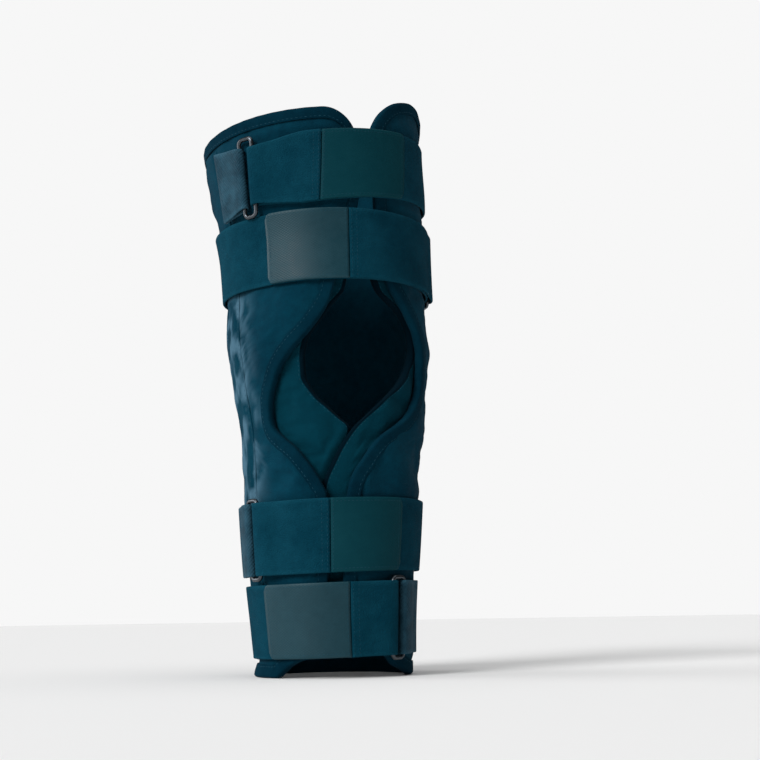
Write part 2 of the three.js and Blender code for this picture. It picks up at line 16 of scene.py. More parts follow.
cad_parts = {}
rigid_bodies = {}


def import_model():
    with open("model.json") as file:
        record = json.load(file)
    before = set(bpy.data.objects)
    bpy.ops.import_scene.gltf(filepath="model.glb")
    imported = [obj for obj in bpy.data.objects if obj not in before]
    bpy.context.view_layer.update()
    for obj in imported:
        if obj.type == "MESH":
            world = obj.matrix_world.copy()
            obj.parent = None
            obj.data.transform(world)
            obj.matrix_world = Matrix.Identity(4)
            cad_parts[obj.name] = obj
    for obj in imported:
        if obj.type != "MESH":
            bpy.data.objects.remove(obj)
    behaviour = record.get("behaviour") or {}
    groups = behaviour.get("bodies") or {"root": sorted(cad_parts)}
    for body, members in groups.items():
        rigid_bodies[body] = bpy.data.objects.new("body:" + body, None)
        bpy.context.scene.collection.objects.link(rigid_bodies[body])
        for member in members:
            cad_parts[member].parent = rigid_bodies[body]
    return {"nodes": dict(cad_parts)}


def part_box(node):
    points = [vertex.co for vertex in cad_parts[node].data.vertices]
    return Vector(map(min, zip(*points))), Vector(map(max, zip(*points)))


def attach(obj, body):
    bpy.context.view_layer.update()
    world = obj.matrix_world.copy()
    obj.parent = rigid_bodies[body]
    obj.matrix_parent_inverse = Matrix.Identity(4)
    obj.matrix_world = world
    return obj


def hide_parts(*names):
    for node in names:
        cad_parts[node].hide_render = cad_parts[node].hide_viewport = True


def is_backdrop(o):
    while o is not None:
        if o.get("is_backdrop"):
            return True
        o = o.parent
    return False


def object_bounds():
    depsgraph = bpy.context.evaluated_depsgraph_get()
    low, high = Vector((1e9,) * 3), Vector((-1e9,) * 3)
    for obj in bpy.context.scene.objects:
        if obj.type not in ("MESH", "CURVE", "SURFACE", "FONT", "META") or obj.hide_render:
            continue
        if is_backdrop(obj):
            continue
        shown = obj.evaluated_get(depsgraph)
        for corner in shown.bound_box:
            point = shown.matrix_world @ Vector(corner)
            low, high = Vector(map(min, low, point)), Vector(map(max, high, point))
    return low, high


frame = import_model()
cad_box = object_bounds()
MM = 0.001
print("nodes", len(frame["nodes"]), "box", [round(v / MM, 1) for v in (cad_box[1] - cad_box[0])], "mm")

# %% [markdown]
# ## The surface that everything lies on
# All the cloth lies on one form: a tube of rounded sections that is wide at the thigh, narrow at the ankle
# and leans a little to the outer side. A point on it is an angle round from the front, a height, and a
# distance off the surface, so straps, tapes and pads can be laid out flat and then wrapped. The sections are
# a short table of shares with a smooth curve through its rows. Lengths are in millimetres until a mesh is
# made.

# %% Sizes of the wrap
BRACE_HEIGHT = 395.2
THIGH_HALF_WIDTH, ANKLE_HALF_WIDTH = 80.5, 53.2
THIGH_LEAN = 18.0
PANEL_THICK = 4.0
TAPE_PROUD = 1.2
TAPE_LEG = 8.0


def columns(names, *rows):
    """A table as one array for each named column."""
    return dict(zip(names.split(), np.array(rows, float).T))


SECTIONS = columns(
    "at wide lean front back",
    (0.0, 0.0, -0.07, 0.98, 1.0),
    (0.085, 0.067, 0.01, 0.98, 1.04),
    (0.186, 0.19, 0.08, 1.0, 1.08),
    (0.308, 0.324, 0.08, 1.0, 1.07),
    (0.42, 0.429, 0.07, 1.03, 1.0),
    (0.512, 0.6, 0.16, 1.05, 0.96),
    (0.613, 0.724, 0.24, 1.06, 0.95),
    (0.645, 0.714, 0.27, 1.06, 0.955),
    (0.685, 0.69, 0.31, 1.06, 0.965),
    (0.75, 0.7, 0.4, 1.055, 0.98),
    (0.837, 0.83, 0.57, 1.045, 0.99),
    (0.878, 0.895, 0.66, 1.04, 1.0),
    (1.0, 1.029, 0.93, 1.03, 1.01),
    (1.035, 1.076, 0.9, 1.03, 1.01),
    (1.058, 1.076, 0.9, 1.03, 1.01),
)


def read(table, column, at):
    """A column of a table at a share of the height, on a smooth curve that never overshoots its rows."""
    x, y = table["at"], table[column]
    slope = np.diff(y) / np.diff(x)
    turning = slope[:-1] * slope[1:] <= 0
    safe = np.where(turning, 1.0, slope[:-1] + slope[1:])
    inner = np.where(turning, 0.0, 2 * slope[:-1] * slope[1:] / safe)
    tangent = np.concatenate([slope[:1], inner, slope[-1:]])
    at = np.clip(at, x[0], x[-1])
    i = np.clip(np.searchsorted(x, at, side="right") - 1, 0, len(x) - 2)
    span = x[i + 1] - x[i]
    t = (at - x[i]) / span
    near = (2 * t**3 - 3 * t**2 + 1) * y[i] + (t**3 - 2 * t**2 + t) * tangent[i] * span
    return near + (-2 * t**3 + 3 * t**2) * y[i + 1] + (t**3 - t**2) * tangent[i + 1] * span


def ease(t):
    t = np.clip(t, 0, 1)
    return t * t * (3 - 2 * t)


def within(value, middle, half, soft):
    """1 near a middle value, easing to 0 at half a width from it over a soft distance."""
    return ease((half - np.abs(value - middle)) / soft)


def signed(angle):
    """An angle round from the front, put between -180 and 180 degrees."""
    return (angle + 180) % 360 - 180


def unit(vectors):
    return vectors / np.linalg.norm(vectors, axis=-1, keepdims=True)


def length_along(run):
    """The distance along a run of points to each of them."""
    return np.concatenate([[0], np.cumsum(np.linalg.norm(np.diff(run, axis=0), axis=1))])


def half_width(z):
    return ANKLE_HALF_WIDTH + (THIGH_HALF_WIDTH - ANKLE_HALF_WIDTH) * read(SECTIONS, "wide", z / BRACE_HEIGHT)


def per_degree(z):
    """Millimetres round the surface for each degree, at a height."""
    return np.radians(half_width(z))


# %% Points on the form
FOOT = (0.0, 0.0)


def form_point(angle, z, off):
    """Points in millimetres at angles round from the front, heights, and distances off the surface."""
    angle, z, off = np.broadcast_arrays(angle, z, off)
    at, turn = z / BRACE_HEIGHT, np.radians(angle)
    wide = half_width(z)
    deep = wide * np.where(np.cos(turn) > 0, read(SECTIONS, "front", at), read(SECTIONS, "back", at))
    across, along = deep * np.sin(turn), -wide * np.cos(turn)
    length = np.hypot(across, along)
    x = wide * np.sin(turn) - THIGH_LEAN * read(SECTIONS, "lean", at) + off * across / length
    y = off * along / length - deep * np.cos(turn)
    return np.stack([x, y, z], axis=-1) + [*FOOT, 0]


# %% Where the form stands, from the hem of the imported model
hem_low, hem_high = (Vector(corner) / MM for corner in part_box("hem_tape"))
hem_heights = np.linspace(0, TAPE_LEG + TAPE_PROUD, 20)
left, right, back = (form_point(turn, hem_heights, TAPE_PROUD) for turn in (-90, 90, 180))
FOOT = ((hem_low.x + hem_high.x - left[:, 0].min() - right[:, 0].max()) / 2, hem_high.y - back[:, 1].max())
print("the form stands at", [round(float(v), 2) for v in FOOT], "mm")


FLARE_OUT, FLARE_HIGH, FLARE_AT = 4.5, 15, (-112, 58, 34)


def place(angle, z, off):
    """Points on the form as it is worn: the lower rim flares a little at the outer side."""
    flare = FLARE_OUT * ease((FLARE_HIGH - z) / FLARE_HIGH) * within(signed(angle), *FLARE_AT)
    return form_point(angle, z, off + flare)

# %% [markdown]
# ## From points to cloth
# A piece of cloth is two grids of points, its outer and inner faces, joined round the border. Writing that
# once keeps every piece closed, with its faces outwards. Each point also carries its place on the flat cloth,
# in millimetres, as a UV map, so that a weave follows the piece round its bends.

# %% A closed sheet of cloth
def add_object(name, data):
    made = bpy.data.objects.new(name, data)
    bpy.context.scene.collection.objects.link(made)
    return made


def grid_quads(grid):
    return np.stack([grid[:-1, :-1], grid[:-1, 1:], grid[1:, 1:], grid[1:, :-1]], -1).reshape(-1, 4)


def sheet_faces(rows, cols):
    outer = np.arange(rows * cols).reshape(rows, cols)
    inner = outer + rows * cols
    walls = []
    for a, b in ((outer[0], inner[0]), (outer[-1][::-1], inner[-1][::-1]),
                 (outer[::-1, 0], inner[::-1, 0]), (outer[:, -1], inner[:, -1])):
        walls.append(np.stack([a[1:], a[:-1], b[:-1], b[1:]], -1))
    return np.concatenate([grid_quads(outer), grid_quads(inner)[:, ::-1], *walls])


def new_mesh(name, points, faces, flat=None):
    """A mesh object from points in millimetres, turned so that its faces point out."""
    a, b, c = (points[faces[:, k]] for k in range(3))
    d = points[faces[:, 3]] if faces.shape[1] == 4 else c
    volume = np.einsum("ij,ij->", a, np.cross(b, c)) + np.einsum("ij,ij->", a, np.cross(c, d))
    if volume < 0:
        faces = faces[:, ::-1]
    mesh = bpy.data.meshes.new(name)
    mesh.from_pydata((points * MM).tolist(), [], faces.tolist())
    if flat is not None:
        layer = mesh.uv_layers.new(name="cloth")
        layer.data.foreach_set("uv", flat[faces.ravel()].astype(np.float32).ravel())
    mesh.polygons.foreach_set("use_smooth", np.ones(len(faces), bool))
    mesh.update()
    return add_object(name, mesh)


def cloth_sheet(name, outer, inner, flat, crest_highlight_mask=None):
    """A closed sheet between two grids of points. An optional mask, 0 to 1, marks where a highlight is
    painted on its outer face, on the tops of creases.
    """
    rows, cols = outer.shape[:2]
    points = np.concatenate([outer.reshape(-1, 3), inner.reshape(-1, 3)])
    uv = np.concatenate([flat.reshape(-1, 2)] * 2)
    piece = new_mesh(name, points, sheet_faces(rows, cols), uv)
    if crest_highlight_mask is not None:
        marks = np.concatenate([crest_highlight_mask.ravel(), np.zeros(crest_highlight_mask.size)]).astype(np.float32)
        piece.data.attributes.new("crest_highlight_mask", "FLOAT", "POINT").data.foreach_set("value", marks)
    return piece


def rough(points, size, seed=0.0, octaves=2):
    """Smooth noise between about -1 and 1 at points in millimetres, with bumps of that size."""
    scaled = points.reshape(-1, 3) / size + seed * 17.3
    values = [noise.fractal(Vector(p), 1.0, 2.0, octaves) for p in scaled]
    return np.array(values).reshape(points.shape[:-1])


# %% [markdown]
# ## The straps' places
# Four straps hold the brace shut. Each is sewn down on one side, crosses the front, passes through its ring,
# folds back and returns over itself to a hook tape end. Their places are needed before the wrap is made,
# because the wrap is pressed in under them.

# %% The straps' table
STRAP_WIDE, STRAP_THICK, HOOK_THICK, TAB_THICK = 50.0, 1.8, 1.6, 1.3
FIT_GAP, BOW_GAP, SEAM_GAP = 0.3, 0.5, 0.5
RING_WIRE, RING_PITCH, RING_SPARE, RING_CORNER = 3.0, 10.0, 0.6, 3.2
TAB_LONG, FOLD_RUN = 25.0, 18.0
CASING_WIDE, CASING_THICK, CASING_CLEAR = 28.0, 2.2, 3.0

STRAPS = {
    "thigh_upper": dict(at=0.893, rise=11, bow=5, skew=5, sewn=150, ring=-52.5, seam=-18, free=30, pinch=0.2),
    "thigh_lower": dict(at=0.748, rise=3.5, bow=2, skew=2, sewn=-150, ring=80, seam=-7, free=-51, pinch=0),
    "calf_upper": dict(at=0.242, rise=2, bow=0, skew=0, sewn=150, ring=-70, seam=-21.5, free=27, pinch=0),
    "calf_lower": dict(at=0.099, rise=1.5, bow=0, skew=0, sewn=-150, ring=21, seam=-9, free=-69, pinch=0),
}


def strap_height(strap, angle):
    turn = np.radians(angle)
    return strap["at"] * BRACE_HEIGHT + strap["rise"] * np.sin(turn) + strap["bow"] * (1 - np.cos(turn))


def strap_cover(angle, z, soft=9.0):
    """1 under a strap, falling to 0 within a soft distance of it."""
    turned = signed(angle)
    cover = np.zeros(np.broadcast(angle, z).shape)
    for strap in STRAPS.values():
        low, high = sorted((strap["sewn"], strap["ring"]))
        beside = np.maximum(low - turned, turned - high) * per_degree(z)
        past = np.maximum(np.abs(z - strap_height(strap, turned)) - STRAP_WIDE / 2, beside)
        cover = np.maximum(cover, 1 - ease(past / soft))
    return cover


# Where the creases stand, and the side where highlight is painted on them, as angle, half width and softness.
CREASED_AT, HIGHLIGHT_FACING_AT = (-84, 30, 14), (-96, 36, 22)
CREASED_LOW, CREASED_HIGH, CREASE_SIZE = 108, 292, 9.5


def crumple(points, angle, z):
    """Small standing creases on the outer side by the knee, where the cloth has been folded in use."""
    where = within(signed(angle), *CREASED_AT) * ease((z - CREASED_LOW) / 18) * ease((CREASED_HIGH - z) / 22)
    return where * (1 - strap_cover(angle, z)) * rough(points * [1, 1, 0.6], CREASE_SIZE, seed=3, octaves=3)


def painted_crest_highlight(folds, angle):
    """How much highlight is painted on the tops of the creases, from 0 to 1: most where they face the lamps
    at the outer side.
    """
    return np.clip((folds + 0.16) * 2.0, 0, 1) * within(signed(angle), *HIGHLIGHT_FACING_AT) * (folds != 0)


print("straps", ", ".join(STRAPS))

# %% [markdown]
# ## Finishes
# Everything is nylon or polyester in one dark teal navy, and the pieces differ in their surface: the wrap is
# brushed, the straps have a loop pile, the hook tape's back is smooth and greyer, and the edge tape is dark
# and tightly woven. Four groups are shared: the slow colour changes of worn cloth, brushed pile, woven ribs,
# and edges that rub pale. They put out masks and heights, and the shader stays in each material.

# %% Helpers for nodes
def give(tree, node, **settings):
    """Fills a node's settings. A setting that names an input socket sets its value or links it."""
    for key, value in settings.items():
        if hasattr(node, key):
            setattr(node, key, value)
            continue
        socket = node.inputs[int(key[1:])] if key[1:].isdigit() else node.inputs[key.replace("_", " ")]
        if isinstance(value, bpy.types.NodeSocket):
            tree.links.new(value, socket)
        else:
            socket.default_value = value
    return node


def add(tree, kind, **settings):
    return give(tree, tree.nodes.new(kind), **settings)


def maths(tree, operation, a, b=None, c=None):
    given = {f"_{k}": v for k, v in enumerate((a, b, c)) if v is not None}
    return add(tree, "ShaderNodeMath", operation=operation, **given).outputs[0]


def new_group(name, outputs, **inputs):
    """A group that reads a vector and the named numbers. Returns it with its inner ends."""
    group = bpy.data.node_groups.new(name, "ShaderNodeTree")
    socket = group.interface.new_socket
    socket(name="Vector", in_out="INPUT", socket_type="NodeSocketVector")
    for label, value in inputs.items():
        socket(name=label, in_out="INPUT", socket_type="NodeSocketFloat").default_value = value
    for label in outputs:
        socket(name=label, in_out="OUTPUT", socket_type="NodeSocketFloat")
    return group, group.nodes.new("NodeGroupInput").outputs, group.nodes.new("NodeGroupOutput").inputs


# %% The shared groups: worn colour, brushed pile, woven ribs, rubbed edge
def worn_colour_group():
    """Slow changes of tone: large faded areas, and a fine mottle as pile lies one way or the other."""
    group, given, out = new_group("Worn colour", ["Fade", "Mottle"], Patch=22.0, Mottle=160.0)
    for label, size, detail, roughness in (("Fade", "Patch", 3.0, 0.55), ("Mottle", "Mottle", 4.0, 0.65)):
        cloud = add(group, "ShaderNodeTexNoise", Vector=given["Vector"], Scale=given[size],
                    Detail=detail, Roughness=roughness)
        ramp = add(group, "ShaderNodeMapRange", Value=cloud.outputs["Fac"], From_Min=0.3, From_Max=0.7)
        group.links.new(ramp.outputs["Result"], out[label])
    return group


def brushed_pile_group():
    """Short brushed loops: a cell pattern of tufts under a finer noise."""
    group, given, out = new_group("Brushed pile", ["Height"], Tufts=1.0)
    tufts = add(group, "ShaderNodeTexVoronoi", Vector=given["Vector"], Scale=given["Tufts"])
    fuzz = add(group, "ShaderNodeTexNoise", Vector=given["Vector"], Detail=3.0,
               Scale=maths(group, "MULTIPLY", given["Tufts"], 1.7))
    soft = maths(group, "SUBTRACT", 1.0, tufts.outputs["Distance"])
    group.links.new(maths(group, "MULTIPLY_ADD", fuzz.outputs["Fac"], 0.8, soft), out["Height"])
    return group


def woven_ribs_group():
    """A tight weave: ribs along the cloth crossed by picks, both from its flat coordinates."""
    group, given, out = new_group("Woven ribs", ["Height"], Ribs=4.0, Picks=3.0)
    split = add(group, "ShaderNodeSeparateXYZ", Vector=given["Vector"])
    ribs = maths(group, "SINE", maths(group, "MULTIPLY", split.outputs["Y"], given["Ribs"]))
    picks = maths(group, "SINE", maths(group, "MULTIPLY", split.outputs["X"], given["Picks"]))
    group.links.new(maths(group, "MULTIPLY_ADD", ribs, picks, 1.0), out["Height"])
    return group


def rubbed_edge_group():
    """Where a band's long edges rub: 1 at the edge, fading inwards, and broken up by a noise."""
    group, given, out = new_group("Rubbed edge", ["Mask"], Half=25.0, Reach=3.5)
    split = add(group, "ShaderNodeSeparateXYZ", Vector=given["Vector"])
    inside = maths(group, "SUBTRACT", given["Half"], maths(group, "ABSOLUTE", split.outputs["Y"]))
    near = maths(group, "SUBTRACT", 1.0, maths(group, "DIVIDE", inside, given["Reach"]))
    patches = add(group, "ShaderNodeTexNoise", Vector=given["Vector"], Scale=0.16, Detail=3.0)
    broken = maths(group, "MULTIPLY", maths(group, "MAXIMUM", near, 0.0), patches.outputs["Fac"])
    group.links.new(broken, out["Mask"])
    return group


WORN, PILE = worn_colour_group(), brushed_pile_group()
RIBS, RUBBED = woven_ribs_group(), rubbed_edge_group()

# %% [markdown]
# A cloth's colour is mixed from a deep tone and a faded one by the worn colour's masks, and its bump comes
# from its pile or weave. Sheen on the shader gives the pale bloom that brushed nylon shows at its edges. The
# wide patterns read Object coordinates, and the fine ones read the flat cloth's own UV map.

# %% Cloth materials
BOUND_WIDE = 3.4


def new_material(name):
    material = bpy.data.materials.new(name)
    material.use_nodes = True
    return material, material.node_tree, material.node_tree.nodes["Principled BSDF"]


def blend(tree, share, low, high):
    """A mix of two colours, each of which is three numbers or a socket."""
    a, b = (c if isinstance(c, bpy.types.NodeSocket) else (*c, 1) for c in (low, high))
    return add(tree, "ShaderNodeMix", data_type="RGBA", _0=share, _6=a, _7=b).outputs[2]


def cloth_material(name, deep, faded, rough_low, rough_high, *, sheen, specular, bump, depth,
                   pile=None, ribs=None, rubbed=0.0, binding=None, crest_highlight_colour=None, patch=22.0):
    """A cloth's material. rubbed is how pale its long edges are, binding the colour of a bound edge, the
    highlight colour that of a highlight painted on the tops of creases, and patch how many faded patches it
    has to a metre."""
    material, tree, shader = new_material(name)
    where = add(tree, "ShaderNodeTexCoord").outputs["Object"]
    flat = add(tree, "ShaderNodeUVMap", uv_map="cloth").outputs["UV"]
    worn = add(tree, "ShaderNodeGroup", node_tree=WORN, Vector=where, Patch=patch).outputs
    share = maths(tree, "MULTIPLY", worn["Fade"], 0.6)
    share = maths(tree, "MULTIPLY_ADD", worn["Mottle"], 0.4, share)
    if rubbed:
        edge = add(tree, "ShaderNodeGroup", node_tree=RUBBED, Vector=flat)
        share = maths(tree, "MULTIPLY_ADD", edge.outputs["Mask"], rubbed, share)
    colour = blend(tree, share, deep, faded)
    if binding:
        split = add(tree, "ShaderNodeSeparateXYZ", Vector=flat)
        colour = blend(tree, maths(tree, "LESS_THAN", split.outputs["X"], BOUND_WIDE), colour, binding)
    # Painted highlight on the tops of creases, where the mesh's mask is set.
    if crest_highlight_colour:
        mark = add(tree, "ShaderNodeAttribute", attribute_name="crest_highlight_mask")
        colour = blend(tree, mark.outputs["Fac"], colour, crest_highlight_colour)
    gloss = add(tree, "ShaderNodeMapRange", Value=worn["Mottle"], To_Min=rough_low, To_Max=rough_high)
    weave = dict(node_tree=PILE, Tufts=pile) if pile else dict(node_tree=RIBS, Ribs=ribs[0], Picks=ribs[1])
    surface = add(tree, "ShaderNodeGroup", **weave, Vector=flat)
    relief = add(tree, "ShaderNodeBump", Height=surface.outputs["Height"], Strength=bump,
                 Distance=depth * MM)
    give(tree, shader, Base_Color=colour, Roughness=gloss.outputs["Result"], Normal=relief.outputs["Normal"],
         Sheen_Weight=sheen, Sheen_Roughness=0.45, Sheen_Tint=(0.55, 0.8, 1.0, 1),
         Specular_IOR_Level=specular)
    return material


# The wrap's last colour is a highlight painted on the tops of its creases.
WRAP = cloth_material("Brushed nylon wrap", (0.0002, 0.017, 0.032), (0.0016, 0.038, 0.063), 0.8, 0.95,
                      sheen=0.04, specular=0.02, pile=1.2, bump=0.55, depth=0.4, crest_highlight_colour=(0.05, 0.115, 0.165))
PAD = cloth_material("Brushed nylon pad", (0.0002, 0.022, 0.036), (0.0012, 0.035, 0.054), 0.8, 0.95,
                     sheen=0.015, specular=0.02, pile=1.3, bump=0.5, depth=0.3,
                     binding=(0.0003, 0.006, 0.011))
STRAP = cloth_material("Loop pile strap", (0.0004, 0.023, 0.04), (0.0032, 0.044, 0.07), 0.85, 0.97,
                       sheen=0.01, specular=0.02, pile=1.1, bump=0.8, depth=0.5, rubbed=0.9, patch=34.0)
# Two copies of one hook tape back. The lit one is lighter and glossier, for the lower straps, whose hook ends
# face the lamps. The shaded one is darker and duller, for the upper straps. The difference between them is
# painted light and painted shade.
LIT_HOOK = cloth_material("Lit hook tape back", (0.0018, 0.027, 0.039), (0.006, 0.041, 0.057), 0.42, 0.52,
                      sheen=0.0, specular=0.21, ribs=(3.6, 2.6), bump=0.3, depth=0.15, rubbed=0.7)
SHADED_HOOK = cloth_material("Shaded hook tape back", (0.0006, 0.03, 0.042), (0.0022, 0.04, 0.053), 0.5, 0.62,
                           sheen=0.0, specular=0.05, ribs=(3.6, 2.6), bump=0.3, depth=0.15, rubbed=0.7)
TAPE = cloth_material("Edge tape", (0.0002, 0.011, 0.021), (0.0014, 0.025, 0.043), 0.75, 0.9,
                      sheen=0.015, specular=0.01, ribs=(5.0, 5.0), bump=0.5, depth=0.2)
TAB = cloth_material("Ring tab webbing", (0.001, 0.018, 0.032), (0.02, 0.07, 0.104), 0.6, 0.8,
                     sheen=0.02, specular=0.08, ribs=(2.4, 3.2), bump=0.6, depth=0.3, rubbed=0.9, patch=85.0)


def wire_material():
    """Nickel plated wire, with fine scuffs that dull it here and there."""
    material, tree, shader = new_material("Nickel wire")
    where = add(tree, "ShaderNodeTexCoord").outputs["Object"]
    scuffs = add(tree, "ShaderNodeTexNoise", Vector=where, Scale=900.0, Detail=4.0)
    dull = add(tree, "ShaderNodeMapRange", Value=scuffs.outputs["Fac"], To_Min=0.22, To_Max=0.42)
    give(tree, shader, Roughness=dull.outputs["Result"], Base_Color=(0.07, 0.08, 0.09, 1), Metallic=1.0)
    return material


def thread_material():
    """Polyester thread, a little paler than the cloth, with a fine twist that breaks up its shine."""
    material, tree, shader = new_material("Sewing thread")
    where = add(tree, "ShaderNodeTexCoord").outputs["Object"]
    worn = add(tree, "ShaderNodeGroup", node_tree=WORN, Vector=where, Patch=60.0, Mottle=500.0)
    colour = blend(tree, worn.outputs["Mottle"], (0.0015, 0.03, 0.05), (0.008, 0.06, 0.092))
    twist = add(tree, "ShaderNodeTexNoise", Vector=where, Scale=4000.0)
    relief = add(tree, "ShaderNodeBump", Height=twist.outputs["Fac"], Strength=0.4, Distance=0.1 * MM)
    give(tree, shader, Base_Color=colour, Normal=relief.outputs["Normal"], Roughness=0.6,
         Specular_IOR_Level=0.15)
    return material


WIRE, THREAD = wire_material(), thread_material()
print("materials", [m.name for m in (WRAP, PAD, STRAP, LIT_HOOK, SHADED_HOOK, TAPE, TAB, WIRE, THREAD)])


# %% Finishing a piece
def finish_piece(piece, material, slot, *nodes):
    """Gives a piece its material, puts it on the body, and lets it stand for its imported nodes."""
    piece.data.materials.clear()
    piece.data.materials.append(material)
    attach(piece, "root")
    if nodes:
        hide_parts(*nodes)
    return piece


# %% [markdown]
# ## Swelling padded cloth
# Foam under cloth stands proud wherever nothing holds it down. Blender's cloth does this well: each point is
# given a weight that says how firmly it is held, a small pressure pushes the rest out, and a little shrinking
# draws puckers in beside the seams. Gravity is off and the move is capped, so a piece keeps to its size, and
# the result is written to the mesh.

# %% Blowing up a piece with cloth
def swell(piece, held, pressure, cap, frames=20):
    """Blows a closed piece up a little with cloth. held is 1 where a point stays and 0 where it is free."""
    before = np.empty(len(piece.data.vertices) * 3)
    piece.data.vertices.foreach_get("co", before)
    group = piece.vertex_groups.new(name="held")
    for index, weight in enumerate(held):
        group.add([index], float(weight), "REPLACE")
    cloth = piece.modifiers.new("Swell", "CLOTH")
    settings = cloth.settings
    settings.quality = 5
    settings.mass = 0.25
    settings.tension_stiffness = settings.compression_stiffness = 12
    settings.bending_stiffness = 0.6
    settings.use_pressure = True
    settings.uniform_pressure_force = pressure
    settings.shrink_min = -0.03
    settings.vertex_group_mass = "held"
    settings.effector_weights.gravity = 0
    cloth.collision_settings.use_collision = False
    cloth.point_cache.frame_start, cloth.point_cache.frame_end = 1, frames
    for number in range(1, frames + 1):
        bpy.context.scene.frame_set(number)
    moved = piece.evaluated_get(bpy.context.evaluated_depsgraph_get())
    after = np.empty_like(before)
    moved.data.vertices.foreach_get("co", after)
    bpy.context.scene.frame_set(1)
    piece.modifiers.remove(cloth)
    piece.vertex_groups.remove(group)
    step = (after - before).reshape(-1, 3)
    far = np.linalg.norm(step, axis=1, keepdims=True)
    step *= np.minimum(1, cap * MM / np.maximum(far, 1e-9))
    piece.data.vertices.foreach_set("co", before + step.ravel())
    piece.data.update()
    return min(far.max() / MM, cap)


def smooth_once(piece):
    smooth = piece.modifiers.new("Smooth", "SUBSURF")
    smooth.levels = smooth.render_levels = 1


# %% [markdown]
# ## The wrap
# The wrap is one sheet of foam laminate. It starts at the inner front edge, goes round the back and ends at
# the outer front edge. The two edges leave a gap at the thigh, open out round the kneecap, and come close
# again below it. A grid that follows the edges keeps the outline clean: its columns are close together near
# the edges, where the lobes of the upper rim curve, and wider round the back.

# %% The wrap's edges and rims
FRONT_EDGES = columns(
    "at left right",
    (0.0, -24, -11), (0.085, -24, -11.5), (0.186, -24, -12), (0.273, -23.5, -11),
    (0.306, -24, -9.5), (0.329, -27.5, -8), (0.349, -32, -5), (0.369, -37.5, 0), (0.39, -44, 5),
    (0.412, -53.5, 12.5), (0.424, -58, 19), (0.437, -60.5, 26.5), (0.452, -61, 33.8),
    (0.469, -60.5, 40), (0.504, -56, 47), (0.537, -50, 48.5), (0.568, -41, 47.5),
    (0.593, -32.5, 44), (0.622, -25, 36.5), (0.649, -20, 28.5), (0.683, -16.5, 19.5),
    (0.746, -9, 14), (0.79, -5, 13), (0.837, -1.5, 12), (0.924, 2.5, 12), (0.959, 3, 12),
    (1.0, 3, 12),
)
RIM_RISE, RIM_FADE = 7.0, 0.3
LOBE_DROP, LOBE_REACH, LOBE_RISE, LOBE_MIDDLE, LOBE_HALF = 26.0, 25.0, 14.5, 46.0, 41.0
ARCH_FADE = 0.2
INSTEP_ARCH = columns(
    "at up",
    (-68, 0), (-62, 4.2), (-54, 8.8), (-42, 12.4), (-30, 13), (-9, 13.2), (13, 14.7),
    (20, 13.9), (28, 7.6), (38, 4.6), (47, 1.8), (56, 0),
)


def row_height(at, angle, reach):
    """Height of the wrap's row at a share of its height. Near the rims the rows follow them."""
    turned = signed(angle)
    corner = 1 - np.sqrt(1 - (1 - np.clip(reach / LOBE_REACH, 0, 1)) ** 2)
    lobe = LOBE_RISE * ease(1 - np.abs(turned - LOBE_MIDDLE) / LOBE_HALF)
    rim = RIM_RISE * np.sin(np.radians(turned)) + lobe - LOBE_DROP * corner
    arch = read(INSTEP_ARCH, "up", turned)
    level = TAPE_PROUD + at * (BRACE_HEIGHT - 2 * TAPE_PROUD)
    return level + ease((at - 1 + RIM_FADE) / RIM_FADE) * rim + (1 - ease(at / ARCH_FADE)) * arch


# %% The wrap's grid
NEAR_EDGE = np.array([0, 0.8, 1.8, 3.2, 4.8, 6.6, 8.6, 11, 14, 17.5, 21.5, 26])
WRAP_ROWS, WRAP_MIDDLE = 96, 90


def wrap_rows(ats):
    """Angles, heights and distances from the nearest front edge, for rows at shares of the height."""
    at = np.asarray(ats)[:, None]
    first, last = read(FRONT_EDGES, "right", at), 360 + read(FRONT_EDGES, "left", at)
    scale = per_degree(at * BRACE_HEIGHT)
    girth = (last - first) * scale
    middle = NEAR_EDGE[-1] + (girth - 2 * NEAR_EDGE[-1]) * np.linspace(0, 1, WRAP_MIDDLE)[1:-1]
    near = np.broadcast_to(NEAR_EDGE, (len(at), len(NEAR_EDGE)))
    run = np.concatenate([near, middle, (girth - near)[:, ::-1]], axis=1)
    reach = np.minimum(run, girth - run)
    angle = first + run / scale
    return angle, row_height(at, angle, reach), reach, run


def from_border(angle, z, reach):
    """Distance in millimetres from the nearest edge of the wrap."""
    top, foot = (row_height(end, angle, reach) for end in (1.0, 0.0))
    return np.minimum(reach, np.minimum(top - z, z - foot))


def wrap_freedom(angle, z, reach):
    """How free the foam is to swell: 0 under straps, tapes and casings, and 1 well away from them."""
    beside = (np.abs(np.abs(signed(angle)) - 90) * per_degree(z) - CASING_WIDE / 2) / 10
    free = np.minimum(1 - strap_cover(angle, z), ease(beside))
    return free * ease((from_border(angle, z, reach) - TAPE_LEG + 1) / 12)


FACE_PROUD, FOAM_RISE, FOLD_RISE, BOUND_SINK = 0.35, 0.8, 1.1, 0.5
angle, z, reach, run = wrap_rows(np.linspace(0, 1, WRAP_ROWS))
free = wrap_freedom(angle, z, reach)
surface = place(angle, z, 0)
creases = rough(surface, 26, seed=1, octaves=3) * 0.7 + rough(surface * [1, 1, 2.2], 11, seed=2) * 0.3
folds = crumple(surface, angle, z)
bound = 1 - ease((from_border(angle, z, reach) - TAPE_LEG) / 3)
outer_off = FACE_PROUD + free * (FOAM_RISE + creases + FOLD_RISE * folds) - BOUND_SINK * bound
flat = np.stack([run, z], axis=-1)
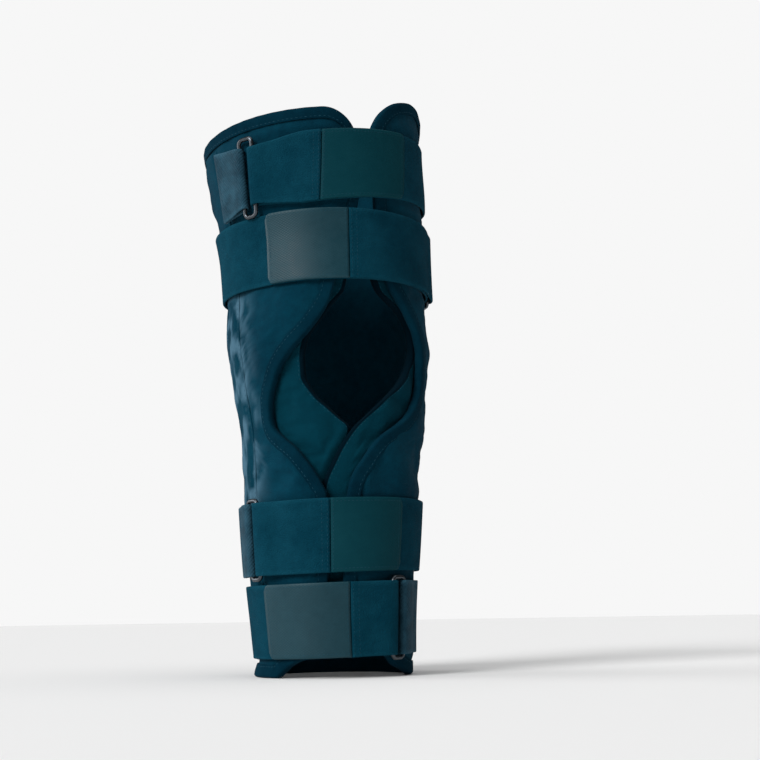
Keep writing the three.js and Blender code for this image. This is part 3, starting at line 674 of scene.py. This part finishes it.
# The last argument paints highlight on the tops of the creases that face the lamps.
wrap = cloth_sheet("padded_wrap", place(angle, z, outer_off), place(angle, z, -PANEL_THICK), flat,
                   painted_crest_highlight(folds, angle))
held = np.concatenate([1 - 0.97 * ease(free * 3).ravel(), np.ones(free.size)])
print("wrap swelled by", round(swell(wrap, held, pressure=3.0, cap=1.6), 2), "mm at most")
smooth_once(wrap)
finish_piece(wrap, WRAP, "wrap", "wrap_panel")
print("wrap", len(wrap.data.polygons), "faces")

# %% [markdown]
# ## Edge tapes
# Folded tape is sewn over every raw edge. Its cross section is a hairpin round the foam's edge, swept along
# the border. Laying the hairpin out in the form's own coordinates keeps both legs flat on the cloth.

# %% Tape along the border
TAPE_THICK, TAPE_PITCH = 0.7, 1.6
PUCKER_HIGH, PUCKER_LONG = 0.22, 2.1


def laid_flat(angle, z):
    return np.stack([angle * per_degree(z), z], axis=-1)


def outward(angle, z):
    """Direction out of the cloth along a run of its border, round and up, in millimetres."""
    along = unit(np.gradient(laid_flat(angle, z), axis=0))
    return np.stack([along[:, 1], -along[:, 0]], axis=-1)


def hairpin(proud, thick):
    """The tape's section as (reach, off) pairs, over the edge of the foam. thick sets the face."""
    turn = np.radians(np.linspace(90, -90, 9))
    middle, depth = -PANEL_THICK / 2, PANEL_THICK / 2 + proud - thick
    reach = (proud - thick + TAPE_THICK) * np.cos(turn) - TAPE_THICK
    fold = np.stack([reach, middle + depth * np.sin(turn)], -1)
    leg = np.array([-TAPE_LEG, -TAPE_LEG + 0.5, -5.5, -3.0])
    top = np.stack([leg, np.full(4, middle + depth)], -1)
    under = np.stack([leg[::-1], np.full(4, middle - depth)], -1)
    return np.concatenate([top, fold, under])


def edge_tape(name, angle, z, node, seed):
    out, along = outward(angle, z), length_along(laid_flat(angle, z))
    pucker = PUCKER_HIGH * np.sin(along / PUCKER_LONG + 1.5 * np.sin(along / 17 + seed))
    faces = []
    for thick in (0.0, TAPE_THICK):
        section = hairpin(TAPE_PROUD, thick)
        reach, off = section[:, 0], section[:, 1]
        spread = 1 + 0.03 * pucker[:, None] * (reach < -4)
        turned = angle[:, None] + out[:, :1] * reach * spread / per_degree(z)[:, None]
        up = z[:, None] + out[:, 1:] * reach * spread
        lift = off + pucker[:, None] * np.where(reach > -7.8, 0.5, 0.2) * np.sign(off + PANEL_THICK / 2)
        faces.append(place(turned, up, lift))
    flat = np.stack(np.broadcast_arrays(along[:, None], hairpin(0, 0)[:, 0]), axis=-1)
    piece = finish_piece(cloth_sheet(name, *faces, flat), TAPE, "binding", node)
    section = hairpin(TAPE_PROUD, TAPE_THICK / 2)


def even_run(angle, z, pitch=TAPE_PITCH):
    """The same run of the border with its stations evenly spaced."""
    along = length_along(laid_flat(angle, z))
    even = np.linspace(0, along[-1], int(along[-1] / pitch))
    return np.interp(even, along, angle), np.interp(even, along, z)


def front_edge(side, turns):
    """One front edge of the wrap, from the lower rim to the upper one."""
    at = np.linspace(0, 1, 700)
    angle = turns * 360 + read(FRONT_EDGES, side, at)
    return angle, row_height(at, angle, 0)


inner_edge, outer_edge = front_edge("right", 0), front_edge("left", 1)
first, last = inner_edge[0][-1], outer_edge[0][-1]
rim_angle = first + (last - first) * ease(np.linspace(0, 1, 900)[1:-1])  # closer stations near the lobes
rim_reach = np.minimum(rim_angle - first, last - rim_angle) * per_degree(BRACE_HEIGHT)
rim = (rim_angle, row_height(np.ones_like(rim_angle), rim_angle, rim_reach))
border = [np.concatenate([up, over[::-1], down[::-1]]) for up, over, down in zip(outer_edge, rim, inner_edge)]
border_run = even_run(*border)
edge_tape("upper_edge_tape", *border_run, "edge_tape", 1)

hem_angle = np.linspace(inner_edge[0][0], outer_edge[0][0], 800)
hem_run = even_run(hem_angle, row_height(0 * hem_angle, hem_angle, LOBE_REACH))
edge_tape("lower_hem_tape", *hem_run, "hem_tape", 2)
print("tape", *(round(len(run[0]) * TAPE_PITCH) for run in (border_run, hem_run)), "mm, at the edges and hem")

# %% [markdown]
# ## Straps, hook ends and tabs
# A strap is a flat band that follows a path: along the wrap, half round the ring's bar, and back over itself.
# The path is laid out as an angle and a distance off the form, and the band is swept along it square to it,
# so the fold keeps its thickness. Webbing is modelled directly, because a simulation would only blur it.

# %% The bands
def bed_off(angle):
    """What a strap lies on, over the form: it climbs over the stay casings at the sides."""
    base = TAPE_PROUD + FIT_GAP
    casing = FIT_GAP + CASING_THICK + FIT_GAP + BOW_GAP
    from_side = np.abs(np.abs(angle) - 90) * per_degree(BRACE_HEIGHT / 2)
    return base + (1 - ease((from_side - CASING_WIDE / 2 - 1) / CASING_WIDE)) * (casing - base)


def girth_of(strap):
    return per_degree(strap["at"] * BRACE_HEIGHT)


def far_bar(strap):
    return strap["ring"] + math.copysign(RING_PITCH, strap["ring"]) / girth_of(strap)


def bar_off(strap):
    return bed_off(strap["ring"]) + STRAP_THICK + FIT_GAP + RING_WIRE / 2


def across(strap, angle, off, share):
    """Points across a strap. They lie in line at its ring, and follow the form elsewhere."""
    angle, off, share = np.broadcast_arrays(angle, off, share)
    middle = strap_height(strap, angle)
    turned = strap["skew"] * np.sqrt(np.maximum(0, np.cos(np.radians(angle))))
    low, high = (place(angle + end * turned, middle + end * STRAP_WIDE, off) for end in (-0.5, 0.5))
    straight = low + (high - low) * (share + 0.5)[..., None]
    gone = np.minimum(np.abs(angle - strap["ring"]), np.abs(angle - far_bar(strap))) * girth_of(strap)
    bend = ease((gone - 2 * RING_WIRE) / FOLD_RUN)[..., None]
    curved = place(angle + share * turned, middle + share * STRAP_WIDE, off)
    return straight + bend * (curved - straight)


def span(start, end, strap, pitch=1.6):
    return np.linspace(start, end, max(3, int(abs(end - start) * girth_of(strap) / pitch)))


def bar_turn(strap, bar, thick, away):
    reach = RING_WIRE / 2 + FIT_GAP + thick / 2
    turn = np.linspace(0, np.pi, 15)
    return bar + away * reach * np.sin(turn) / girth_of(strap), bar_off(strap) - reach * np.cos(turn)


def settle(strap, angle, bar, high, low):
    gone = np.abs(angle - bar) * girth_of(strap)
    return high + (low - high) * ease(gone / FOLD_RUN)


PINCH_FROM, PINCH_RUN, SIDE_FROM, SIDE_SOFT = 3, 32, 0.9, 0.95


def band(name, strap, angle, off, thick, round_end=0.0, wave=0.25, seed=0.0):
    """A band along a path of angles and distances off the form, with soft edges."""
    girth = girth_of(strap)
    path = np.stack([angle * girth, off], axis=-1)
    along, ahead = length_along(path), unit(np.gradient(path, axis=0))
    share = np.sin(np.linspace(-np.pi / 2, np.pi / 2, 21)) / 2
    share = np.sign(share) * np.abs(share * 2) ** 0.8 / 2
    left = along[-1] - along
    inset = round_end - np.sqrt(np.maximum(0, round_end**2 - np.maximum(0, round_end - left) ** 2))
    gone = np.abs(angle - strap["ring"]) * girth
    pinched = 1 - np.clip((gone - PINCH_FROM) / PINCH_RUN, 0, 1)
    width = (1 - 2 * inset / STRAP_WIDE) * (1 - strap["pinch"] * pinched)
    from_side = (0.5 - np.abs(share)) * STRAP_WIDE
    half = thick / 2 * np.sqrt(1 - np.clip((SIDE_FROM - from_side) / SIDE_SOFT, 0, 1) ** 2)
    ripple = wave * np.sin(along / 23 + seed)[:, None] * (2 * share) ** 2
    faces = []
    for side in (1, -1):
        move = side * np.maximum(half, 0.2)
        turned = (path[:, :1] - move * ahead[:, 1:]) / girth
        lift = path[:, 1:] + move * ahead[:, :1] + ripple
        faces.append(across(strap, turned, lift, share * width[:, None]))
    flat = np.stack(np.broadcast_arrays(along[:, None], share * STRAP_WIDE), axis=-1)
    return cloth_sheet(name, *faces, flat), (STRAP_WIDE * MM, along[-1] * MM)


def strap_path(strap):
    ring, away = strap["ring"], math.copysign(1, strap["ring"])
    over = bar_off(strap) + RING_WIRE / 2 + FIT_GAP + STRAP_THICK / 2
    base, back = span(strap["sewn"], ring, strap)[:-1], span(ring, strap["seam"], strap)[1:]
    turn = bar_turn(strap, ring, STRAP_THICK, away)
    base_off = settle(strap, base, ring, bed_off(ring), bed_off(base)) + STRAP_THICK / 2
    back_off = settle(strap, back, ring, over, bed_off(back) + 1.5 * STRAP_THICK + FIT_GAP)
    return np.concatenate([base, turn[0], back]), np.concatenate([base_off, turn[1], back_off])


def tab_path(strap):
    bar, away = far_bar(strap), math.copysign(1, strap["ring"])
    end = bar + away * TAB_LONG / girth_of(strap)
    turn = bar_turn(strap, bar, TAB_THICK, -away)
    under, over = span(end, bar, strap)[:-1], span(bar, end, strap)[1:]
    under_off = settle(strap, under, bar, turn[1][0], bed_off(under) + TAB_THICK / 2)
    over_off = settle(strap, over, bar, turn[1][-1], bed_off(over) + 1.5 * TAB_THICK + FIT_GAP)
    return np.concatenate([under, turn[0], over]), np.concatenate([under_off, turn[1], over_off])


# %% Making the straps
for number, (name, strap) in enumerate(STRAPS.items()):
    body, body_cut = band(f"{name}_strap", strap, *strap_path(strap), STRAP_THICK, seed=number)
    finish_piece(body, STRAP, "strap", f"strap_{name}")
    start = strap["seam"] + math.copysign(SEAM_GAP, strap["free"] - strap["seam"]) / girth_of(strap)
    reach = span(start, strap["free"], strap)
    hook_off = bed_off(reach) + STRAP_THICK + FIT_GAP + HOOK_THICK / 2
    hook, cut = band(f"{name}_hook", strap, reach, hook_off, HOOK_THICK, round_end=4.0, seed=number)
    # The lower straps get the lit copy and the upper ones the shaded copy: painted light and painted shade.
    finish_piece(hook, LIT_HOOK if "lower" in name else SHADED_HOOK, "hook", f"hook_end_{name}")
    tab, cut = band(f"{name}_tab", strap, *tab_path(strap), TAB_THICK, wave=0.1, seed=number)
    finish_piece(tab, TAB, "strap", f"ring_tab_{name}")
    print(name, "strap, hook end and tab, strap cut", round(body_cut[1] / MM), "mm")

# %% [markdown]
# ## Rings
# Each ring is one length of wire bent to a rectangle with small rounded corners. Its long bars lie up and
# down the leg: the strap folds round the near one and the tab round the far one. A circle of points is swept
# round the rectangle, which is simpler than bevelling a curve and leaves a plain closed mesh.

# %% Bending the wire
def wire_ring(name, strap):
    reach = (STRAP_WIDE / 2 + RING_SPARE + RING_WIRE / 2) / STRAP_WIDE
    near, far = strap["ring"], far_bar(strap)
    low, high = (np.stack([across(strap, bar, bar_off(strap), end) for bar in (near, far)])
                 for end in (-0.5, 0.5))
    middle, way = (low + high) / 2, (high - low) * reach
    corners = [*(middle - way), *(middle + way)[::-1]]
    face = unit(np.cross(corners[1] - corners[0], corners[3] - corners[0]))
    stations = []
    for k, here in enumerate(corners):
        a, b = unit(corners[k - 1] - here), unit(corners[(k + 1) % 4] - here)
        centre = here + (a + b) * RING_CORNER
        for turn in np.radians(np.linspace(0, 90, 8)):
            out = -b * np.cos(turn) - a * np.sin(turn)
            stations.append((centre + out * RING_CORNER, out))
    sides = np.radians(np.arange(14) * 360 / 14)
    rings = np.array([[at + RING_WIRE / 2 * (out * np.cos(s) + face * np.sin(s)) for s in sides]
                      for at, out in stations])
    count, around = rings.shape[:2]
    index = np.arange(count * around).reshape(count, around)
    index = np.pad(index, ((0, 1), (0, 1)), mode="wrap")
    return new_mesh(name, rings.reshape(-1, 3), grid_quads(index))


for name, strap in STRAPS.items():
    finish_piece(wire_ring(f"{name}_ring", strap), WIRE, "ring", f"ring_{name}")
print("rings", len(STRAPS))

# %% [markdown]
# ## Stay casings
# A stay is a flat bar that slides into a sleeve sewn up each side. The sleeve shows as a raised strip with a
# sewn margin. Its height is a pillow over the stay that drops to the wrap at both seams.

# %% The sleeves
CASING_MARGIN, CASING_EDGE, STAY_RAMP = 2.8, 0.35, 3.4


def stay_casing(name, side, node):
    clear = (TAPE_LEG + CASING_CLEAR) / BRACE_HEIGHT
    rows = np.linspace(clear, 1 - clear, 150)[:, None]
    z = row_height(rows, side * 90.0, LOBE_REACH)
    share = np.linspace(-1, 1, 33)
    angle = side * 90 + share * CASING_WIDE / 2 / per_degree(z)
    inside = (1 - np.abs(share)) * CASING_WIDE / 2
    pillow = 0.2 * ease(inside / 0.6) + 0.8 * ease((inside - CASING_MARGIN) / STAY_RAMP)
    surface = place(angle, z, 0)
    top = FIT_GAP + CASING_EDGE + (CASING_THICK - 0.45) * pillow + 0.12 * rough(surface, 14, seed=5 + side)
    folds = crumple(surface, angle, z)
    top += pillow * (0.6 * folds - 0.25)
    flat = np.stack(np.broadcast_arrays(share * CASING_WIDE / 2, z), axis=-1)
    # The last argument paints highlight on the tops of the creases that face the lamps.
    piece = cloth_sheet(name, place(angle, z, top), place(angle, z, FIT_GAP), flat,
                        painted_crest_highlight(folds, angle))
    finish_piece(piece, WRAP, "wrap", node)
    cut = (CASING_WIDE * MM, np.ptp(z[:, 0]) * MM)
    print(name, "cut", round(cut[1] / MM), "mm long")


stay_casing("outer_stay_casing", -1, "stay_casing_outer")
stay_casing("inner_stay_casing", 1, "stay_casing_inner")

# %% [markdown]
# ## Kneecap pads
# Two crescent pads frame the kneecap from inside the wrap. They are soft and padded, so once laid out they
# are blown up with Blender's cloth as the wrap is: the points under the wrap and along the bound edge are
# held, and a small pressure swells the rest. One subdivision smooths them.

# %% The pads' edges
PAD_THICK, PAD_TUCK, LAP_RAMP = 6.3, 12.0, 7.0
PAD_ROUND, PAD_EDGE = 0.42, 2.6
PAD_FACE = -(PANEL_THICK + TAPE_PROUD + FIT_GAP + BOW_GAP)
LAP_GAP = FIT_GAP + BOW_GAP
LAP_FACE = PAD_FACE - (PAD_THICK + LAP_GAP) / 2

OUTER_PAD = columns(
    "at edge lap",
    (0.313, -18, 1), (0.339, -15, 1), (0.364, -11, 1), (0.39, -7.5, 1), (0.427, -7, 1),
    (0.444, -14.5, 0), (0.461, -21.5, 0), (0.486, -30.6, 0), (0.522, -36.6, 0),
    (0.552, -36.5, 0), (0.585, -33.3, 0), (0.613, -26, 0), (0.642, -17.6, 0), (0.674, -9, 0),
    (0.741, -4.5, 0),
)
INNER_PAD = columns(
    "at edge lap",
    (0.045, -34, 0), (0.115, -34, 0), (0.207, -34, 0), (0.298, -29.5, 1), (0.339, -25.5, 1),
    (0.364, -21, 1), (0.39, -16.2, 1), (0.41, -11.5, 1), (0.427, -6.7, 1), (0.452, 4, 0),
    (0.478, 15.7, 0), (0.517, 33, 0), (0.554, 44, 0), (0.59, 48, 0), (0.619, 43.5, 0),
    (0.642, 32.5, 0), (0.674, 13.2, 0), (0.741, 4.5, 0),
)


# %% Laying out a pad
def pad_layout(table, other, side, way, rows=72, cols=26):
    """Angles, heights, and the offs of both faces of a pad, from its shown edge to its tucked edge."""
    at = np.linspace(table["at"][0], table["at"][-1], rows)[:, None]
    z = at * BRACE_HEIGHT
    scale = per_degree(z)
    edge = read(table, "edge", at)
    tucked = read(FRONT_EDGES, side, at) + way * PAD_TUCK / scale
    from_edge = np.abs(tucked - edge) * scale
    share = np.concatenate([[0, 0.02, 0.05, 0.09], np.linspace(0.14, 1, cols - 4)])
    depth = from_edge * share
    angle = edge + way * depth / scale
    lap = read(table, "lap", at)
    past = way * (angle - read(other, "edge", at)) * scale
    lapped = lap * (1 - ease((past + 1.0) / LAP_RAMP))
    soft_edge = 1 - np.sqrt(1 - np.clip(1 - depth / PAD_EDGE, 0, 1) ** 2)
    hidden = way * (angle - read(FRONT_EDGES, side, at)) * scale
    return dict(angle=angle, z=z + 0 * angle, depth=depth, lapped=lapped, soft=soft_edge, hidden=hidden)


def pad_sheet(name, layout, outer_top, inner_bottom):
    rounded = (outer_top - inner_bottom) * PAD_ROUND * layout["soft"]
    outer = place(layout["angle"], layout["z"], outer_top - rounded)
    inner = place(layout["angle"], layout["z"], inner_bottom + rounded)
    flat = np.stack([layout["depth"], layout["z"]], axis=-1)
    return cloth_sheet(name, outer, inner, flat)


def kneecap_pad(name, table, other, side, way, node, on_top):
    layout = pad_layout(table, other, side, way)
    outer_top = np.full_like(layout["angle"], PAD_FACE)
    inner_bottom = np.full_like(layout["angle"], PAD_FACE - PAD_THICK)
    if on_top:
        inner_bottom += layout["lapped"] * (LAP_FACE + LAP_GAP - PAD_FACE + PAD_THICK)
    else:
        outer_top += layout["lapped"] * (LAP_FACE - PAD_FACE)
    piece = pad_sheet(name, layout, outer_top, inner_bottom)
    tucked = ease((layout["hidden"] + 3) / 4)
    bound = 1 - ease(layout["depth"] / 3)
    held = np.clip(np.maximum.reduce([tucked, bound, layout["lapped"] > 0.02]), 0, 1)
    held = np.concatenate([held.ravel(), np.ones(held.size)])
    print(name, "swelled by", round(swell(piece, held, pressure=4.0, cap=3.2), 2), "mm at most")
    smooth_once(piece)
    finish_piece(piece, PAD, "pad", node)


kneecap_pad("outer_kneecap_pad", OUTER_PAD, INNER_PAD, "left", -1, "kneecap_pad_outer", on_top=False)
kneecap_pad("inner_kneecap_pad", INNER_PAD, OUTER_PAD, "right", 1, "kneecap_pad_inner", on_top=True)

# %% [markdown]
# ## Stitches
# Lockstitch shows as short raised dashes, evenly spaced. There are over two thousand of them, so Geometry
# Nodes lay them: each sewn row is a chain of points dropped onto the cloth from outside, the tree makes even
# points along it, and a small bead lies along the row at each. The result becomes a plain mesh.

# %% The stitch tree
def stitch_tree():
    tree = bpy.data.node_groups.new("Stitches along rows", "GeometryNodeTree")
    socket = tree.interface.new_socket
    socket(name="Rows", in_out="INPUT", socket_type="NodeSocketGeometry")
    for label in ("Pitch", "Length", "Thread"):
        socket(name=label, in_out="INPUT", socket_type="NodeSocketFloat")
    socket(name="Seed", in_out="INPUT", socket_type="NodeSocketInt")
    socket(name="Stitches", in_out="OUTPUT", socket_type="NodeSocketGeometry")
    given = tree.nodes.new("NodeGroupInput").outputs
    rows = add(tree, "GeometryNodeMeshToCurve", Mesh=given["Rows"])
    even = add(tree, "GeometryNodeResampleCurve", mode="LENGTH", Curve=rows.outputs["Curve"],
               Length=given["Pitch"])
    along = add(tree, "GeometryNodeInputTangent")
    lie = add(tree, "FunctionNodeAlignRotationToVector", axis="X", Vector=along.outputs["Tangent"])
    uneven = add(tree, "FunctionNodeRandomValue", data_type="FLOAT", _2=0.42, _3=0.54, _8=given["Seed"])
    half = maths(tree, "MULTIPLY", given["Thread"], 0.5)
    size = add(tree, "ShaderNodeCombineXYZ", Y=half, Z=half,
               X=maths(tree, "MULTIPLY", given["Length"], uneven.outputs[1]))
    bead = add(tree, "GeometryNodeMeshIcoSphere", Radius=1.0, Subdivisions=1)
    laid = add(tree, "GeometryNodeInstanceOnPoints", Points=even.outputs["Curve"],
               Instance=bead.outputs["Mesh"], Rotation=lie.outputs["Rotation"], Scale=size.outputs["Vector"])
    real = add(tree, "GeometryNodeRealizeInstances", Geometry=laid.outputs["Instances"])
    smooth = add(tree, "GeometryNodeSetShadeSmooth", Geometry=real.outputs["Geometry"])
    sewn = add(tree, "GeometryNodeSetMaterial", Geometry=smooth.outputs["Geometry"], Material=THREAD)
    add(tree, "NodeGroupOutput", Stitches=sewn.outputs["Geometry"])
    return tree


STITCHES = stitch_tree()


# %% Rows of stitches
def dropped(piece, outside, inside, sunk=0.05):
    """Points in millimetres on a piece, where lines from outside points to inside ones first meet it."""
    tree = BVHTree.FromObject(piece, bpy.context.evaluated_depsgraph_get())
    row = []
    for start, end in zip(outside * MM, inside * MM):
        way = Vector(end - start).normalized()
        hit = tree.ray_cast(Vector(start), way)[0]
        if hit is not None:
            row.append(np.array(hit + way * sunk * MM) / MM)
    return np.array(row)


def sew(name, rows, pitch, length, thread):
    points = np.concatenate(rows)
    ends = np.cumsum([len(row) for row in rows])
    edges = [(k, k + 1) for k in range(len(points) - 1) if k + 1 not in ends]
    mesh = bpy.data.meshes.new("rows")
    mesh.from_pydata((points * MM).tolist(), edges, [])
    guide = add_object("rows", mesh)
    modifier = guide.modifiers.new("Sew", "NODES")
    modifier.node_group = STITCHES
    values = {"Pitch": pitch * MM, "Length": length * MM, "Thread": thread * MM, "Seed": 7}
    for item in STITCHES.interface.items_tree:
        if item.name in values:
            modifier[item.identifier] = values[item.name]
    shown = guide.evaluated_get(bpy.context.evaluated_depsgraph_get())
    piece = add_object(name, bpy.data.meshes.new_from_object(shown))
    bpy.data.objects.remove(guide)
    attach(piece, "root")
    print(name, len(piece.data.polygons) // 20, "stitches in", len(rows), "rows")


def on_form(piece, angle, z, top=14.0, bottom=-20.0):
    return dropped(piece, place(angle, z, top), place(angle, z, bottom))


def on_band(piece, strap, angle, share, top=16.0, bottom=-4.0):
    return dropped(piece, across(strap, angle, top, share), across(strap, angle, bottom, share))


# %% Seams of the wrap, the casings and the pads
SEAM_IN, SEAM_CLEAR = 6.4, 0.008
piece_of = bpy.data.objects
rows = []
for run_angle, run_z, name in ((*border_run, "upper_edge_tape"), (*hem_run, "lower_hem_tape")):
    out = outward(run_angle, run_z)
    turned = run_angle - out[:, 0] * SEAM_IN / per_degree(run_z)
    rows.append(on_form(piece_of[name], turned, run_z - out[:, 1] * SEAM_IN))
casing_from = (TAPE_LEG + CASING_CLEAR) / BRACE_HEIGHT
for side, name in ((-1, "outer_stay_casing"), (1, "inner_stay_casing")):
    at = np.linspace(casing_from + SEAM_CLEAR, 1 - casing_from - SEAM_CLEAR, 240)
    z = row_height(at, side * 90.0, LOBE_REACH)
    for margin in (-1, 1):
        beside = margin * (CASING_WIDE / 2 - CASING_MARGIN * 0.55)
        rows.append(on_form(piece_of[name], side * 90 + beside / per_degree(z), z))
    for end in (z[0], z[-1]):
        turned = side * 90 + np.linspace(-12.4, 12.4, 16) / per_degree(end)
        rows.append(on_form(piece_of[name], turned, np.full(16, end)))
for table, way, name in ((OUTER_PAD, -1, "outer_kneecap_pad"), (INNER_PAD, 1, "inner_kneecap_pad")):
    at = np.linspace(table["at"][0] + 0.005, table["at"][-1] - 0.005, 160)
    turned = read(table, "edge", at) + way * (BOUND_WIDE + 1.0) / per_degree(at * BRACE_HEIGHT)
    rows.append(on_form(piece_of[name], turned, at * BRACE_HEIGHT, top=8.0))
sew("seam_stitches", rows, pitch=3.3, length=2.4, thread=0.42)

# %% Seams of the straps
END_IN, SEWN_BOX, SIDE_SHARE = 2.4, 24, 0.45
rows = []
for name, strap in STRAPS.items():
    body, hook, tab = (piece_of[f"{name}_{part}"] for part in ("strap", "hook", "tab"))
    girth = girth_of(strap)

    def run(piece, start, end, low, high, count=24):
        return on_band(piece, strap, np.linspace(start, end, count), np.linspace(low, high, count))

    inward = math.copysign(1, strap["ring"] - strap["sewn"]) / girth
    a, b = strap["sewn"] + END_IN * inward, strap["sewn"] + SEWN_BOX * inward
    box = ((a, b, 1, 1), (a, b, -1, -1), (a, a, -1, 1), (b, b, -1, 1))
    for start, end, low, high in (*box, (a, b, -1, 1), (a, b, 1, -1)):
        rows.append(run(body, start, end, low * SIDE_SHARE, high * SIDE_SHARE))
    ahead = math.copysign(1, strap["free"] - strap["seam"]) / girth
    for back in (1.6, 5.0):
        at = strap["seam"] - back * ahead
        rows.append(run(body, at, at, -SIDE_SHARE, SIDE_SHARE))
    a, b = strap["seam"] + 2.2 * ahead, strap["free"] - 2.6 * ahead
    for start, end, low, high in ((a, b, 1, 1), (b, b, 1, -1), (b, a, -1, -1), (a, a, -1, 1)):
        rows.append(run(hook, start, end, low * SIDE_SHARE, high * SIDE_SHARE, 40))
    away = math.copysign(1, strap["ring"]) / girth
    for back in (TAB_LONG - 2.4, TAB_LONG - 7.0):
        at = far_bar(strap) + back * away
        rows.append(run(tab, at, at, -SIDE_SHARE, SIDE_SHARE))
sew("strap_stitches", rows, pitch=2.7, length=2.0, thread=0.4)

# %% [markdown]
# ## The studio
# The brace stands on a wide pale floor, in soft light from the upper left, so the pile on the left side of
# each strap shows and the right side falls off. The world lights the cloth weakly but looks nearly white to
# the camera, as a separately lit wall would. The camera is low and looks up a little, as in the photograph.

# %% Floor and lights
def studio_floor(radius=14.0, sides=64):
    turn = np.linspace(0, 2 * np.pi, sides, endpoint=False)
    rim = np.stack([radius * np.cos(turn), radius * np.sin(turn), 0 * turn], axis=-1)
    mesh = bpy.data.meshes.new("studio_floor")
    mesh.from_pydata(rim.tolist(), [], [list(range(sides))])
    floor = add_object("studio_floor", mesh)
    material, tree, shader = new_material("Pale studio floor")
    give(tree, shader, Base_Color=(0.82, 0.82, 0.82, 1), Roughness=0.9, Specular_IOR_Level=0.1)
    mesh.materials.append(material)
    floor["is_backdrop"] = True


def soft_sun(name, azimuth, elevation, strength, softness):
    """A wide sun from a side of the front (minus is the outer side) and a height, both in degrees."""
    data = bpy.data.lights.new(name, "SUN")
    data.energy, data.angle = strength, math.radians(softness)
    turn, lift = math.radians(azimuth), math.radians(elevation)
    source = Vector((math.sin(turn) * math.cos(lift), -math.cos(turn) * math.cos(lift), math.sin(lift)))
    light = add_object(name, data)
    light.location = source * 2
    light.rotation_mode = "QUATERNION"
    light.rotation_quaternion = source.to_track_quat("Z", "Y")


def studio_world(to_cloth=0.11, to_camera=0.93):
    world = bpy.data.worlds.new("Studio")
    bpy.context.scene.world = world
    world.use_nodes = True
    tree = world.node_tree
    seen = add(tree, "ShaderNodeLightPath").outputs["Is Camera Ray"]
    strength = maths(tree, "MULTIPLY_ADD", seen, to_camera - to_cloth, to_cloth)
    give(tree, tree.nodes["Background"], Color=(1, 1, 1, 1), Strength=strength)


studio_floor()
soft_sun("key_light", azimuth=-64, elevation=26, strength=2.8, softness=28)
soft_sun("side_light", azimuth=-122, elevation=14, strength=1.5, softness=40)
soft_sun("top_light", azimuth=10, elevation=84, strength=1.4, softness=60)
studio_world()
bpy.context.scene.view_settings.view_transform = "Standard"

# %% Camera
CAMERA_AWAY, CAMERA_SWING, CAMERA_HEIGHT = 0.88, 20.0, 0.0402
CAMERA_TILT, CAMERA_TURN, CAMERA_ROLL = 11.15, 2.43, -0.9
CAMERA_SENSOR, CAMERA_LENS, KNEE_AT = 36, 56.9, 0.491
knee_x = (FOOT[0] - THIGH_LEAN * read(SECTIONS, "lean", np.array(KNEE_AT))) * MM
swing = math.radians(CAMERA_SWING)
camera_data = bpy.data.cameras.new("camera")
camera_data.sensor_width, camera_data.lens = CAMERA_SENSOR, CAMERA_LENS
camera_data.clip_start, camera_data.clip_end = 0.02, 50
camera = add_object("camera", camera_data)
camera.location = (knee_x - CAMERA_AWAY * math.sin(swing), FOOT[1] * MM - CAMERA_AWAY * math.cos(swing),
                   CAMERA_HEIGHT)
turn, tilt, roll = (Matrix.Rotation(math.radians(degrees), 4, axis) for degrees, axis in (
    (-CAMERA_SWING - CAMERA_TURN, "Z"), (90 + CAMERA_TILT, "X"), (CAMERA_ROLL, "Z")))
camera.rotation_euler = (turn @ tilt @ roll).to_euler()
bpy.context.scene.camera = camera

# %% [markdown]
# ## Standing proud of the imported model
# Cloth may stand a little proud of the imported model, but not much. Both boxes are measured, and how far
# the cloth's top corner stands past the model's is printed.

# %% The boxes
sizes = {"cad": [list(corner) for corner in cad_box], "visual": [list(corner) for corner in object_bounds()]}
grown = [round((b - a) / MM, 2) for a, b in zip(sizes["cad"][1], sizes["visual"][1])]
print("grown by", grown, "mm at the top")
